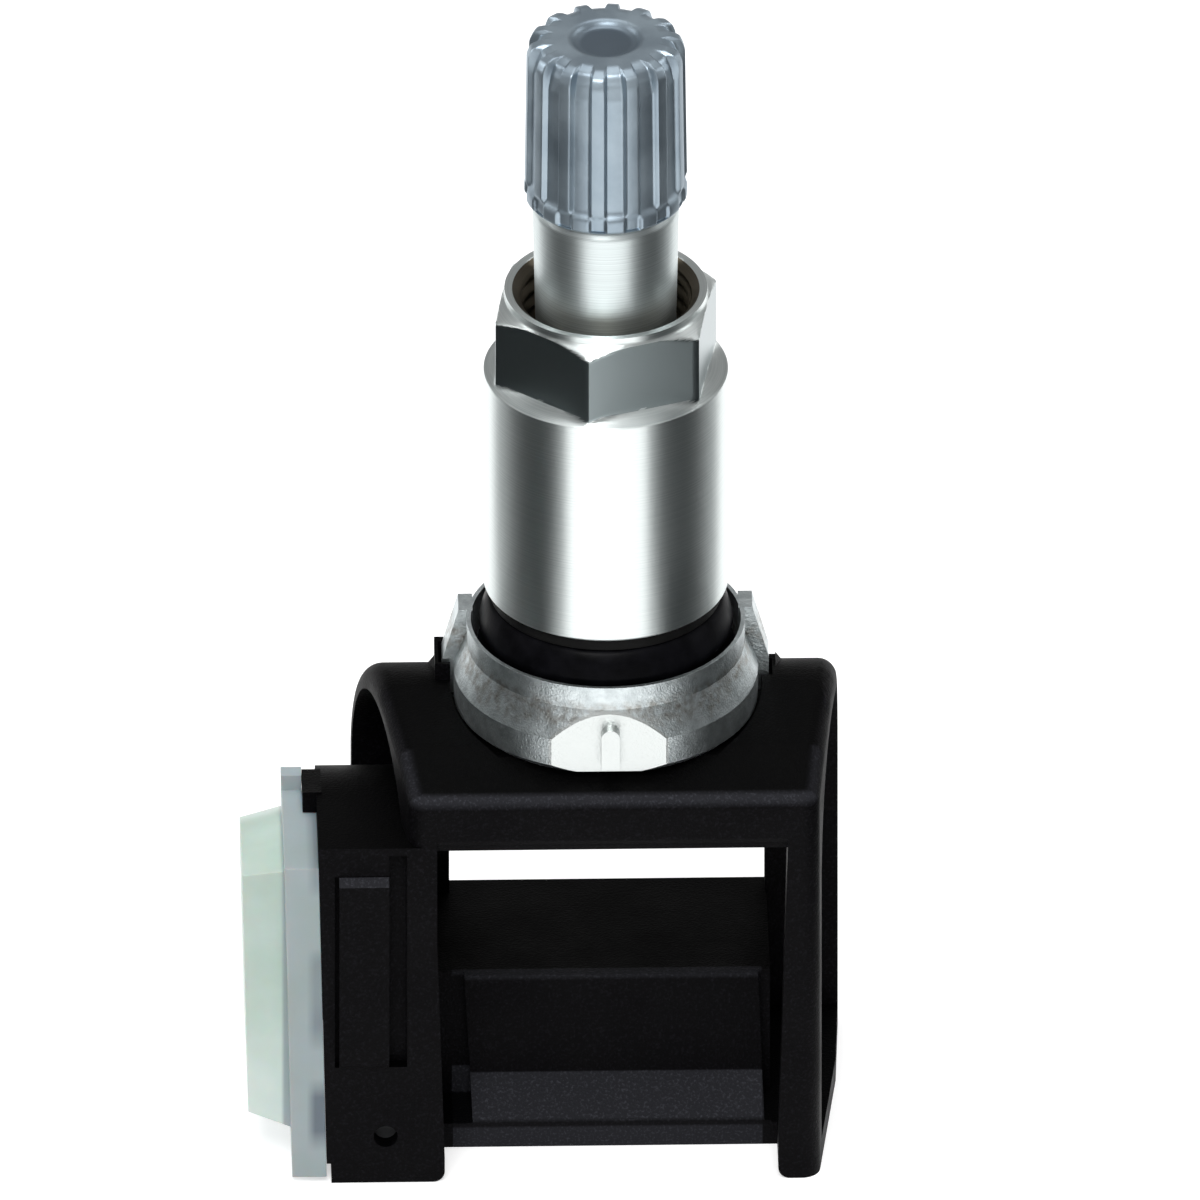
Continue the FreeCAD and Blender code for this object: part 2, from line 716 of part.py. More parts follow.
def add_loop(housing):
    """Arch-shaped loop, open at both ends, with a window in its front and its back."""
    between(housing, "Pad", "YZ", "-left_back - loose_gap", "right_back + loose_gap", [[
        ("-loop_front", "-base_drop"),
        ("arch_radius", "-base_drop"),
        ("arch_radius", "-arch_drop"),
        ("0", "-arch_drop + arch_radius", "0", "-arch_drop", 1, "x"),
        ("-brow_slope", "-brow_slope_drop"),
        ("-loop_front", "-brow_drop"),
    ]])
    # Both ends splay outwards to the back
    between(housing, "Pocket", "XY", "-base_drop", "0", [
        [
            ("-left_front", "-loop_front"),
            ("-left_back", "arch_radius"),
            ("-left_back - loop_front", "arch_radius"),
            ("-left_back - loop_front", "-loop_front"),
        ],
        [
            ("right_front", "-loop_front"),
            ("right_back + loop_front", "-loop_front"),
            ("right_back + loop_front", "arch_radius"),
            ("right_back", "arch_radius"),
            ("right_knee", "knee_depth"),
        ],
    ])

    def on_end(edge):
        points = [vertex.Point for vertex in edge.Vertexes]
        under = all(near(point.z, "-base_drop") for point in points)
        inside = all(near(point.y, "knee_depth") for point in points)
        on_plane = all(abs(point.x - end_side(point.y, point.x > 0)) < 0.02 for point in points)
        return on_plane and not under and not inside
    softened(housing, "Fillet", "rim_round", on_end)
    inner = "(arch_radius - loop_wall)"
    between(housing, "Pocket", "YZ", "-left_back - loop_wall", "right_back + loop_wall", [[
        (f"-{inner}", "-tunnel_floor"),
        (inner, "-tunnel_floor"),
        (inner, "-arch_drop"),
        (f"-{inner}", "-arch_drop", "0", "-arch_drop", 1, "y"),
    ]])
    # The front window is open down to the base, between two posts
    behind_bar = f"-sqrt({inner} ^ 2 - (arch_drop - bar_drop) ^ 2)"
    between(housing, "Pocket", "XZ", "-loop_front - loop_wall", behind_bar, [
        [
            ("-window_left_foot", "-base_drop - loop_wall"),
            ("window_right_foot", "-base_drop - loop_wall"),
            ("window_right_foot", "-lip_drop"),
            ("window_right", "-bar_drop"),
            ("-window_left", "-bar_drop"),
            ("-window_left_foot", "-lip_drop"),
        ]
    ])
    between(housing, "Pocket", "XY", "-base_drop - loop_wall", "-tunnel_floor + loop_wall", [
        rectangle("-window_left_foot", "-loop_front - loop_wall", "window_right_foot", "-lip_depth")
    ])
    between(housing, "Pocket", "XZ", "arch_radius - 2 * loop_wall", "arch_radius + loop_wall", [
        rectangle("-back_window_left", "-back_window_drop", "back_window_right", "-back_window_top")
    ])
    between(housing, "Pad", "YZ", "-block_left", "block_right", [[
        ("-lip_depth", "-base_drop"),
        ("block_back", "-base_drop"),
        ("block_back", "-back_window_drop"),
        ("-ridge_depth", "-ridge_drop"),
        ("-block_foot_depth", "-block_foot_drop"),
        ("-lip_depth", "-lip_drop"),
    ]])
    # The block's nose narrows downwards and stands clear of both posts
    for side, edge, top, foot in (
        ("-", "block_left", "nose_left", "nose_left_foot"),
        ("", "block_right", "nose_right", "nose_right_foot"),
    ):
        between(housing, "Pocket", "XZ", "-lip_depth", "-ridge_depth + nose_notch", [[
            (f"{side}{edge}", "-lip_drop"),
            (f"{side}{foot}", "-lip_drop"),
            (f"{side}{top}", "-ridge_drop + nose_notch"),
            (f"{side}{edge}", "-ridge_drop + nose_notch"),
        ]])


def leaning(face, left_of_it):
    """The region on one side of a face that leans inwards from the box's top to the base."""
    far = f"{face} - 2 * boss_height" if left_of_it else f"{face} + 2 * box_lean"
    return [
        (face, "-box_drop"), (f"{face} + box_lean", "-base_drop"), (far, "-base_drop"), (far, "-box_drop")
    ]


def lean(part, face, left_of_it):
    """Cuts a face of the box or its cover to the lean."""
    between(part, "Pocket", "XZ", "-loop_front - box_wall", "arch_radius + box_wall",
            [leaning(face, left_of_it)])


def add_box(housing):
    """Electronics box, open to the left, whose cavity runs on into the inner block."""
    between(housing, "Pad", "YZ", "-box_left", "-box_right", [box_section("0", "base_drop")])
    between(housing, "Pocket", "YZ", "-box_left - box_wall", "-cavity_floor", [
        box_section("box_wall", "base_drop - box_wall", "loop_front - box_wall")
    ])
    between(housing, "Pocket", "YZ", "-cavity_floor - box_wall", "block_cavity_right", [
        rectangle("-block_cavity_front", "-block_cavity_bottom", "board_back + loose_gap",
                  "-block_cavity_top")
    ])
    lean(housing, "-box_left", True)
    between(housing, "Pocket", "XZ", "-loop_front - box_wall", "arch_radius + box_wall", [
        rectangle("-box_left", "-base_drop", "-box_left + box_lean + box_notch", "-base_drop + box_wall")
    ])
    # Latch above the cover
    between(housing, "Pad", "XY", "-box_drop - cover_inset + running_gap", "-box_drop + hook_height / 2", [
        rectangle("-box_left - cover_flange + tab_thickness", "-hook_front",
                  "-box_left + hook_root", "hook_back")
    ])


def add_seat(housing):
    """Seat of the valve's foot: a thick ledge in the arch, a round recess and an ear on each side."""
    between(housing, "Pad", "XY", "-ledge_drop", "-foot_drop - pad_gap", [
        rectangle("-ledge_side", "-ledge_depth", "ledge_side", "ledge_depth")
    ])
    for side, drop in (("-", "ear_drop"), ("", "ear_right_drop")):
        inner = f"{side}(foot_radius)"
        outer = f"{side}(foot_radius + pad_gap + ear_wall)"
        between(housing, "Pad", "XZ", "ear_front", "ear_back", [[
            (inner, "-foot_drop - pad_gap"),
            (inner, f"-{drop}"),
            (outer, f"-{drop}"),
            (outer, "-arch_drop + arch_radius - loose_gap"),
            (f"{outer} {side or '+'} ear_wall", "-foot_drop - pad_gap"),
        ]])
    between(housing, "Pocket", "XY", "-foot_drop", "0", [("0", "0", "foot_radius + pad_gap")])
    for side in ("-", ""):
        between(housing, "Pocket", "XZ", "lug_side - lug_width / 2 - pad_gap",
                "lug_side + lug_width / 2 + pad_gap", [
            rectangle("0", "-foot_drop", f"{side}(lug_reach + pad_gap)", "0")
        ])
    between(housing, "Pocket", "XY", "-ledge_drop - loop_wall", "-foot_drop + loop_wall", [
        ("0", "0", "screw_radius + loose_gap")
    ])


def add_front_details(housing):
    """Grooves and raised pad on the front of the box, and the pressure port."""
    front = "-loop_front"
    between(housing, "Pad", "XZ", f"{front} - front_pad_proud", f"{front} + seat_gap", [
        rectangle("-front_pad_left", "-front_pad_bottom", "-front_pad_right", "-front_pad_top")
    ])
    between(housing, "Pocket", "XZ", f"{front} - front_pad_proud", f"{front} + slot_left_depth", [
        rectangle("-slot_left", "-front_pad_bottom", "-front_pad_left", "-front_pad_top")
    ])
    between(housing, "Pocket", "XZ", f"{front} - front_pad_proud", f"{front} + slot_right_depth", [
        rectangle("-front_pad_right", "-front_pad_bottom", "-slot_right", "-slot_top")
    ])
    between(housing, "Pocket", "XZ", f"{front} - front_pad_proud", f"{front} + box_wall * 2", [
        ("-port_side", "-port_drop", "port_radius")
    ])


def round_corners(housing):
    """Soft edges that the moulding shows."""
    def front_edges(edge):
        middle = edge.CenterOfMass
        on_front = near(middle.y, "-loop_front")
        return runs_along(edge, "x") and on_front and (
            near(middle.z, "-brow_drop") or near(middle.z, "-bar_drop")
        )
    softened(housing, "Fillet", "post_corner", front_edges)

    def post_feet(edge):
        middle = edge.CenterOfMass
        inner = near(middle.x, "-window_left_foot") or near(middle.x, "window_right_foot")
        return runs_along(edge, "y") and inner and near(middle.z, "-base_drop")
    softened(housing, "Fillet", "window_corner", post_feet)

    def pad_edges(edge):
        middle = edge.CenterOfMass
        return runs_along(edge, "x") and near(middle.y, "-loop_front - front_pad_proud")
    softened(housing, "Chamfer", "front_pad_bevel", pad_edges)


def build_cover():
    """Translucent cover: a flange that closes the box, a drafted boss over the battery and a tab."""
    cover = new_body("cover")
    outer = "(-box_left - seat_gap - cover_flange)"
    between(cover, "Pad", "YZ", outer, "-box_left - seat_gap + box_lean", [
        box_section("cover_inset", "base_drop - cover_base_gap")
    ])
    lean(cover, "(-box_left - seat_gap)", False)
    between(cover, "Pad", "YZ", outer, f"{outer} + tab_thickness", [
        rectangle("-hook_front", "-box_drop - cover_inset - cover_skin", "hook_back", "-tab_rise")
    ])
    lean(cover, outer, True)
    sketch = sketch_on(cover, "YZ", f"{outer} + box_lean")
    draw(sketch, box_section("cover_inset + boss_inset", "boss_drop", "boss_front"))
    boss = cover.newObject("PartDesign::Pad", "boss")
    boss.Profile = sketch
    boss.Reversed = True
    bind(boss, "Length", "boss_height + box_lean")
    bind(boss, "TaperAngle", "-boss_draft")
    doc.recompute()
    lean(cover, f"({outer} - boss_height)", True)
    # Room for the battery and for the tabs that run down from it
    crown = f"{outer} - boss_height + cover_skin"
    between(cover, "Pocket", "YZ", crown, "-box_left + box_wall", [
        ("-cell_side", "-cell_drop", "cell_radius + loose_gap")
    ])
    between(cover, "Pocket", "YZ", crown, "-box_left + box_wall", [
        rectangle("tab_side - tab_width / 2 - loose_gap", "-cell_drop - cell_radius - 2 * loose_gap",
                  "tab_side + tab_step + tab_width / 2 + loose_gap",
                  "-cell_drop + tab_width / 2 + loose_gap")
    ])


def build_battery():
    """Coin cell in the cover's boss, and the two welded tabs that join it to the circuit board."""
    crown = "-box_left - cover_flange - boss_height + cover_skin"
    plus = f"({crown} + tab_sheet + 2 * seat_gap)"
    minus = f"({plus} + cell_thickness + seat_gap)"
    battery = new_body("battery")
    between(battery, "Pad", "YZ", plus, f"{plus} + cell_thickness", [
        ("-cell_side", "-cell_drop", "cell_radius")
    ])
    softened(battery, "Chamfer", "tab_sheet", lambda edge: True)
    # One tab runs down the cell's crown and under it to the board, the other down its inner face
    tabs = new_body("battery_tabs")
    weld = "-cell_drop + tab_width / 2"
    foot = "-board_left + tab_foot"
    over = "(-board_drop + board_thickness + seat_gap)"
    under = "(-cell_drop - cell_radius - seat_gap)"
    riser = f"({minus} + tab_foot)"
    between(tabs, "Pad", "XZ", "tab_side - tab_width / 2", "tab_side + tab_width / 2", [[
        (f"{plus} - seat_gap - tab_sheet", weld),
        (f"{plus} - seat_gap - tab_sheet", f"{under} - tab_sheet"),
        (riser, f"{under} - tab_sheet"),
        (riser, over),
        (foot, over),
        (foot, f"{over} + tab_sheet"),
        (f"{riser} - tab_sheet", f"{over} + tab_sheet"),
        (f"{riser} - tab_sheet", under),
        (f"{plus} - seat_gap", under),
        (f"{plus} - seat_gap", weld),
    ]])
    middle = "(tab_side + tab_step)"
    between(tabs, "Pad", "XZ", f"{middle} - tab_width / 2", f"{middle} + tab_width / 2", [[
        (minus, weld),
        (minus, over),
        (foot, over),
        (foot, f"{over} + tab_sheet"),
        (f"{minus} + tab_sheet", f"{over} + tab_sheet"),
        (f"{minus} + tab_sheet", weld),
    ]])


def build_board():
    """Circuit board in the block's cavity, with the sensor chip, coil, crystal and capacitors."""
    board = new_body("circuit_board")
    between(board, "Pad", "XY", "-board_drop", "-board_drop + board_thickness", [
        rectangle("-board_left", "-board_front", "board_right", "board_back")
    ])
    top = "(-board_drop + board_thickness + seat_gap)"
    middle = "((board_back - board_front) / 2)"
    coil = new_body("antenna_coil")
    for side in ("-", "+"):
        end = f"(coil_side {side} (coil_length - coil_flange) / 2)"
        between(coil, "Pad", "XY", top, f"{top} + coil_height", [
            rectangle(f"{end} - coil_flange / 2", f"{middle} - coil_width / 2",
                      f"{end} + coil_flange / 2", f"{middle} + coil_width / 2")
        ])
    between(coil, "Pad", "YZ", "coil_side - coil_length / 2", "coil_side + coil_length / 2", [
        (middle, f"{top} + coil_height / 2", "coil_height / 2 - tab_sheet")
    ])
    crystal = new_body("crystal")
    between(crystal, "Pad", "XY", top, f"{top} + crystal_height", [
        rectangle("-crystal_side - crystal_length", f"{middle} - crystal_width / 2",
                  "-crystal_side", f"{middle} + crystal_width / 2")
    ])
    softened(crystal, "Fillet", "chip_corner", lambda edge: runs_along(edge, "z"))
    capacitors = new_body("capacitors")
    for number in range(CAPACITORS):
        front = f"(board_front + {number} * capacitor_pitch)"
        between(capacitors, "Pad", "XY", top, f"{top} + capacitor_width", [
            rectangle("-capacitor_side - capacitor_length", front,
                      "-capacitor_side", f"{front} + capacitor_width")
        ])


def build_pressure_port():
    """Sensor chip under the board, the gasket tube from the port to it, the filter and the potting."""
    chip_top = "(-board_drop - seat_gap)"
    chip = new_body("sensor_chip")
    between(chip, "Pad", "XY", f"{chip_top} - chip_height", chip_top, [
        rectangle("-port_side - chip_size / 2", "-chip_front", "-port_side + chip_size / 2",
                  "-chip_front + chip_size")
    ])
    softened(chip, "Fillet", "chip_corner", lambda edge: runs_along(edge, "z"))
    between(chip, "Pocket", "XZ", "-chip_front - seat_gap", "-chip_front + chip_size / 2", [
        ("-port_side", "-port_drop", "port_radius")
    ])
    wall = "(-loop_front + box_wall)"
    gasket = new_body("port_gasket")
    between(gasket, "Pad", "XZ", f"{wall} + seat_gap", "-chip_front - seat_gap", [
        ("-port_side", "-port_drop", "gasket_tube"),
        ("-port_side", "-port_drop", "port_radius"),
    ])
    disc = new_body("port_filter")
    between(disc, "Pad", "XZ", f"{wall} - filter_thickness", wall, [
        ("-port_side", "-port_drop", "port_radius - seat_gap")
    ])
    potting = new_body("potting")
    between(potting, "Pad", "YZ", "-box_left + box_lean + potting_gap", "-cavity_floor - seat_gap", [
        box_section("box_wall + seat_gap", "base_drop - box_wall - seat_gap",
                    "loop_front - box_wall - seat_gap")
    ])
    between(potting, "Pocket", "YZ", "-box_left", "-cavity_floor + box_wall", [
        rectangle("-chip_front - potting_gap", f"{chip_top} - chip_height - potting_gap",
                  "arch_radius", "-cell_drop + tab_width / 2 + potting_gap")
    ])
    between(potting, "Pocket", "XZ", "-loop_front", "-chip_front", [
        ("-port_side", "-port_drop", "gasket_tube + seat_gap")
    ])


doc.recompute()
build_union_nut()
build_washer_and_seal()
build_valve_foot()
build_valve_stem()
build_valve_core()
build_cap()
build_retaining_screw()
build_housing()
build_cover()
build_battery()
build_board()
build_pressure_port()
doc.recompute()

for item in doc.Objects:
    if "Invalid" in item.State or "Error" in item.State:
        raise RuntimeError(f"{item.Name} failed: {item.State}")
os.makedirs("parts", exist_ok=True)
for node in nodes:
    if node.Shape.isNull() or not node.Shape.isValid():
        raise RuntimeError(f"{node.Label} has no sound shape")
    node.Shape.exportStep(f"parts/{node.Label}.step")
    print(node.Label, len(node.Shape.Solids), round(node.Shape.Volume, 2))
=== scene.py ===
import math

import bmesh
import bpy
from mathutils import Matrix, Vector


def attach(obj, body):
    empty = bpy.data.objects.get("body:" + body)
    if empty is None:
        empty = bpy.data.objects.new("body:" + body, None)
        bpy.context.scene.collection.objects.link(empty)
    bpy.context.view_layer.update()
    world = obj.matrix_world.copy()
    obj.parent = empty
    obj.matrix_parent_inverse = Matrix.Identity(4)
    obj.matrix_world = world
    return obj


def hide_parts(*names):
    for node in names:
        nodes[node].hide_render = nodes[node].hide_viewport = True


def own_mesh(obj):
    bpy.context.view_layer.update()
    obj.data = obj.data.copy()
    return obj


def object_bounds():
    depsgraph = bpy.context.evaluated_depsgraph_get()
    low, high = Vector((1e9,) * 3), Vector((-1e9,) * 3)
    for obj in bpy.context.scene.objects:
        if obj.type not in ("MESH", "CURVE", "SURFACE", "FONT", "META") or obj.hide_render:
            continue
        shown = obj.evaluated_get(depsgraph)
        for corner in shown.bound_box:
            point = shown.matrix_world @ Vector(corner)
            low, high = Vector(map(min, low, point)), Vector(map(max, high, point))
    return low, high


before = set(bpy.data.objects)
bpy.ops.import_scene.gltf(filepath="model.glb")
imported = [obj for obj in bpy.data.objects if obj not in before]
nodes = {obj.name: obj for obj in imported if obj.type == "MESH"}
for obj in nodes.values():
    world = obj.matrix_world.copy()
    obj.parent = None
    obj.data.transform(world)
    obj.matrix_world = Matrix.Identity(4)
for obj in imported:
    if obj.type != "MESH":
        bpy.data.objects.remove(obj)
cad_low, cad_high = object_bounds()

# Moulded housing: the black loop, its inner block and the electronics box in one piece.
# It is glass-filled nylon from a spark-eroded mould, so every face has a fine dull grain
# and every edge a small round.
MM = 0.001
housing_edge = 0.28
same_place = 0.002
sharp_turn = math.radians(18)
level_turn = math.radians(9)
round_turn = math.radians(38)
room_share = 2.1
# Painted shade: the colour of housing faces that look straight up.
housing_crown_shade = (0.0006, 0.0006, 0.0007, 1)
housing_black = (0.0020, 0.0018, 0.0023, 1)
housing_worn = (0.0100, 0.0096, 0.0122, 1)
# Painted highlight: the grey of lit proud rounds, ledges, the lower front strip and the ridge.
housing_painted_highlight = (0.039, 0.040, 0.048, 1)
ledge_tilt = (0.12, 0.5)
crown_tilt = (0.75, 0.92)
front_tilt = (-0.5, -0.2)
strip_top = -31.5
strip_half = 9.0
strip_front = -1.8
# The crease at the foot of the lower front strip, kept dark as painted shade.
ridge_level = -25.2
shaded_crease_level = -33.5
bar_foot = -12.5
bar_front = -6.0
bar_half = 10.5
bar_lower = 0.37
ear_side = -16.5
ear_front = -3.2
ear_top = -12.3
ear_slope = -0.158


def new_group(name, inputs, outputs):
    """A shader node group with the given sockets, its tree, its input node and its output node."""
    tree = bpy.data.node_groups.new(name, "ShaderNodeTree")
    for label, kind, value in inputs:
        socket = tree.interface.new_socket(label, in_out="INPUT", socket_type=f"NodeSocket{kind}")
        socket.default_value = value
    for label, kind in outputs:
        tree.interface.new_socket(label, in_out="OUTPUT", socket_type=f"NodeSocket{kind}")
    return tree, tree.nodes.new("NodeGroupInput"), tree.nodes.new("NodeGroupOutput")


def add(tree, kind, links=None, **settings):
    """Adds a node, sets its properties and fills its sockets with values or other nodes' outputs."""
    node = tree.nodes.new(f"ShaderNode{kind}")
    for name, value in settings.items():
        setattr(node, name, value)
    for socket, value in (links or {}).items():
        if isinstance(value, bpy.types.NodeSocket):
            tree.links.new(value, node.inputs[socket])
        else:
            node.inputs[socket].default_value = value
    return node


def place(tree):
    """Object coordinates in millimetres."""
    coordinates = add(tree, "TexCoord")
    return add(tree, "VectorMath", {0: coordinates.outputs["Object"], 1: (1 / MM,) * 3},
               operation="MULTIPLY").outputs[0]


def split(tree, vector):
    """A vector's three parts, named X, Y and Z."""
    return add(tree, "SeparateXYZ", {0: vector}).outputs


def calc(tree, operation, *values, **settings):
    """A Math node's answer on numbers or masks."""
    return add(tree, "Math", dict(enumerate(values)), operation=operation, **settings).outputs[0]


def ramp(tree, value, start, end, first=0.0, last=1.0, **settings):
    """A number that runs from first to last while the value runs from start to end."""
    return add(tree, "MapRange", {"Value": value, "From Min": start, "From Max": end,
                                  "To Min": first, "To Max": last}, **settings).outputs["Result"]


def spread(tree, mask, low, high, **settings):
    """A number that runs from low to high with the mask."""
    return ramp(tree, mask, 0.0, 1.0, low, high, **settings)


def apart(tree, value, level):
    """How far a value is from a level, above or below it."""
    return calc(tree, "ABSOLUTE", calc(tree, "SUBTRACT", value, level))


def noise(tree, vector, scale, detail, rough=0.5, **settings):
    """Cloudy noise, whose scale is about its clouds to the millimetre."""
    return add(tree, "TexNoise", {"Vector": vector, "Scale": scale, "Detail": detail,
                                  "Roughness": rough}, **settings).outputs["Fac"]


def raised(tree, height, depth):
    """The normal of a surface whose height of 0 to 1 stands for a depth in millimetres."""
    distance = calc(tree, "MULTIPLY", depth, MM)
    return add(tree, "Bump", {"Height": height, "Distance": distance}).outputs["Normal"]


def blend_colours(tree, mask, first, second, **settings):
    """A colour that runs from the first to the second with the mask."""
    return add(tree, "Mix", {0: mask, 6: first, 7: second}, data_type="RGBA", **settings).outputs[2]


def wire(tree, node, **sources):
    """Feeds a node's sockets from colours, masks and normals."""
    for socket, source in sources.items():
        tree.links.new(source, node.inputs[socket.replace("_", " ")])


def grain_group():
    """Fine even grain of a mould or a casting: a normal, a mask of its peaks and broad patches."""
    tree, inside, outside = new_group(
        "surface_grain",
        [("Grain mm", "Float", 0.1), ("Depth mm", "Float", 0.01), ("Patch mm", "Float", 3.0)],
        [("Normal", "Vector"), ("Peaks", "Float"), ("Patches", "Float")],
    )
    fineness = calc(tree, "DIVIDE", 1.0, inside.outputs["Grain mm"])
    fine = noise(tree, place(tree), fineness, 3.0, 0.6)
    breadth_of = calc(tree, "DIVIDE", 1.0, inside.outputs["Patch mm"])
    broad = noise(tree, place(tree), breadth_of, 4.0, 0.55)
    wire(tree, outside, Normal=raised(tree, fine, inside.outputs["Depth mm"]),
         Peaks=ramp(tree, fine, 0.52, 0.78), Patches=ramp(tree, broad, 0.35, 0.65))
    return tree


surface_grain = grain_group()


def new_material(name, **sockets):
    """A material whose Principled shader has the given plain values: its tree and shader."""
    material = bpy.data.materials.new(name)
    material.use_nodes = True
    shader = material.node_tree.nodes["Principled BSDF"]
    for socket, value in sockets.items():
        shader.inputs[socket.replace("_", " ")].default_value = value
    return material, material.node_tree, shader


def put(tree, group, **values):
    """Places a shader node group in a material with its own values and gives its outputs."""
    node = tree.nodes.new("ShaderNodeGroup")
    node.node_tree = group
    for socket, value in values.items():
        node.inputs[socket.replace("_", " ")].default_value = value
    return node.outputs


def housing_material():
    """Dull black nylon with a painted highlight on proud rounds, on ledges that face up and forward, on
    the lower front strip and along the ridge, and painted shade on faces that look straight up.
    """
    material, tree, shader = new_material("housing_plastic", Specular_IOR_Level=0.05)
    grain = put(tree, surface_grain, Grain_mm=0.16, Depth_mm=0.05, Patch_mm=5.0)
    facing = split(tree, add(tree, "NewGeometry").outputs["Normal"])
    # Painted highlight on ledges that face up and forward.
    tilt = ramp(tree, facing["Z"], *ledge_tilt)
    # Painted shade: faces that look straight up turn darker.
    crown = ramp(tree, facing["Z"], *crown_tilt, 1.0, 0.0)
    front = ramp(tree, facing["Y"], *front_tilt, 1.0, 0.0)
    ledge = calc(tree, "MULTIPLY", calc(tree, "MULTIPLY", tilt, crown), front)
    # Painted highlight on proud rounds, stronger where they face up.
    rounds = add(tree, "Attribute", attribute_name="proud_round_highlight").outputs["Fac"]
    edges = calc(tree, "MULTIPLY", rounds, spread(tree, tilt, 0.35, 1.3))
    highlight_mask = calc(tree, "MAXIMUM", ledge, edges)
    sides = split(tree, place(tree))
    between = calc(tree, "LESS_THAN", calc(tree, "ABSOLUTE", sides["X"]), strip_half)
    middle = calc(tree, "MULTIPLY", calc(tree, "LESS_THAN", sides["Y"], strip_front), between)
    # Painted highlight on the lower front strip.
    low = ramp(tree, sides["Z"], strip_top, strip_top - 0.1)
    highlight_mask = calc(tree, "MAXIMUM", highlight_mask, calc(tree, "MULTIPLY", low, middle))
    # Painted shade: the crease at the strip's foot keeps only a tenth of the highlight.
    crease_shade = ramp(tree, apart(tree, sides["Z"], shaded_crease_level), 0.1, 0.25, 0.1, 1.0)
    highlight_mask = calc(tree, "MULTIPLY", highlight_mask, crease_shade)
    # Painted highlight along the ridge.
    ridge = ramp(tree, apart(tree, sides["Z"], ridge_level), 0.35, 0.1, 0.0, 0.6)
    highlight_mask = calc(tree, "MAXIMUM", highlight_mask, calc(tree, "MULTIPLY", ridge, middle))
    specks = spread(tree, grain["Peaks"], 0.45, 1.3, clamp=False)
    speckled_highlight = calc(tree, "MULTIPLY", highlight_mask, specks, use_clamp=True)
    upright = blend_colours(tree, grain["Peaks"], housing_black, housing_worn)
    # Faces that look straight up take the painted shade colour.
    plain = blend_colours(tree, crown, housing_crown_shade, upright)
    wire(tree, shader, Base_Color=blend_colours(tree, speckled_highlight, plain, housing_painted_highlight),
         Roughness=spread(tree, grain["Patches"], 0.46, 0.58), Normal=grain["Normal"])
    return material


def finish_piece(piece, material, body, slot, *replaced):
    """Gives a piece its material, sets it on its body and hides the nodes it stands for; slot is not
    used.
    """
    piece.data.materials.clear()
    piece.data.materials.append(material)
    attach(piece, body)
    if replaced:
        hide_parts(*replaced)


def in_scene(name, data):
    """A new object of the scene with the given mesh, lamp or camera."""
    made = bpy.data.objects.new(name, data)
    bpy.context.scene.collection.objects.link(made)
    return made


def room(edge):
    """The shortest edge that a round along this edge would run into."""
    along = (edge.verts[1].co - edge.verts[0].co).normalized()
    lengths = [1.0]
    for corner in edge.verts:
        for other in corner.link_edges:
            way = other.other_vert(corner).co - corner.co
            if other is not edge and abs(way.normalized().dot(along)) < 0.85:
                lengths.append(way.length)
    return min(lengths)


def breadth(face):
    """How wide a face is across its longest edge."""
    return face.calc_area() / max(side.calc_length() for side in face.edges)


def even_normals(form, flat):
    """A normal for each corner, bent over the rounds and level on faces wider than flat, in mm."""
    widths = {face: breadth(face) for face in form.faces}
    areas = {face: face.calc_area() for face in form.faces}
    normals = []
    for face in form.faces:
        for loop in face.loops:
            total = Vector()
            for near in loop.vert.link_faces:
                turn = near.normal.angle(face.normal, 0)
                narrow = min(widths[near], widths[face]) < flat * MM
                if turn < level_turn or turn < round_turn and narrow:
                    total += near.normal * areas[near]
            normals.append(total.normalized())
    return normals


def rounded_copy(name, node, edge, mend=None, flat=0.9):
    """A node's form with its sharp edges rounded, and a mark on the rounds that stand proud, where the
    housing paints a highlight.
    """
    form = bmesh.new()
    form.from_mesh(nodes[node].data)
    bmesh.ops.remove_doubles(form, verts=form.verts, dist=same_place * MM)
    bmesh.ops.dissolve_limit(form, angle_limit=math.radians(0.5), verts=form.verts, edges=form.edges)
    if mend:
        for corner in form.verts:
            corner.co = mend(corner.co / MM) * MM
    sharp = [e for e in form.edges if e.is_manifold and e.calc_face_angle() > sharp_turn]
    sharp = [e for e in sharp if room(e) > room_share * edge * MM]
    rounds = bmesh.ops.bevel(form, geom=sharp, offset=edge * MM, offset_type="OFFSET", segments=3,
                             profile=0.5, affect="EDGES", clamp_overlap=True)["faces"]
    # Marks the rounds that stand proud; the housing's material paints a highlight on them.
    highlight_layer = form.loops.layers.float.new("proud_round_highlight")
    for face in rounds:
        if all(side.calc_face_angle_signed(0) > -0.01 for side in face.edges):
            for loop in face.loops:
                loop[highlight_layer] = 1.0
    bmesh.ops.triangulate(form, faces=[f for f in form.faces if len(f.verts) > 4])
    form.normal_update()
    normals = even_normals(form, flat)
    mesh = bpy.data.meshes.new(name)
    form.to_mesh(mesh)
    form.free()
    mesh.shade_smooth()
    mesh.normals_split_custom_set(normals)
    return in_scene(name, mesh)


def mend_housing(corner):
    """Lowers the bar's foot to the photo's narrow slit, and the ear's top to the box beside it."""
    x, y, z = corner
    if abs(z - bar_foot) < 0.03 and y < bar_front and abs(x) < bar_half:
        return Vector((x, y, z - bar_lower))
    if z > ear_top and x < ear_side:
        return Vector((x, y, ear_top + ear_slope * (y - ear_front)))
    return corner


housing = rounded_copy("moulded_housing", "housing", housing_edge, mend=mend_housing)
finish_piece(housing, housing_material(), "sensor", "housing_plastic", "housing")

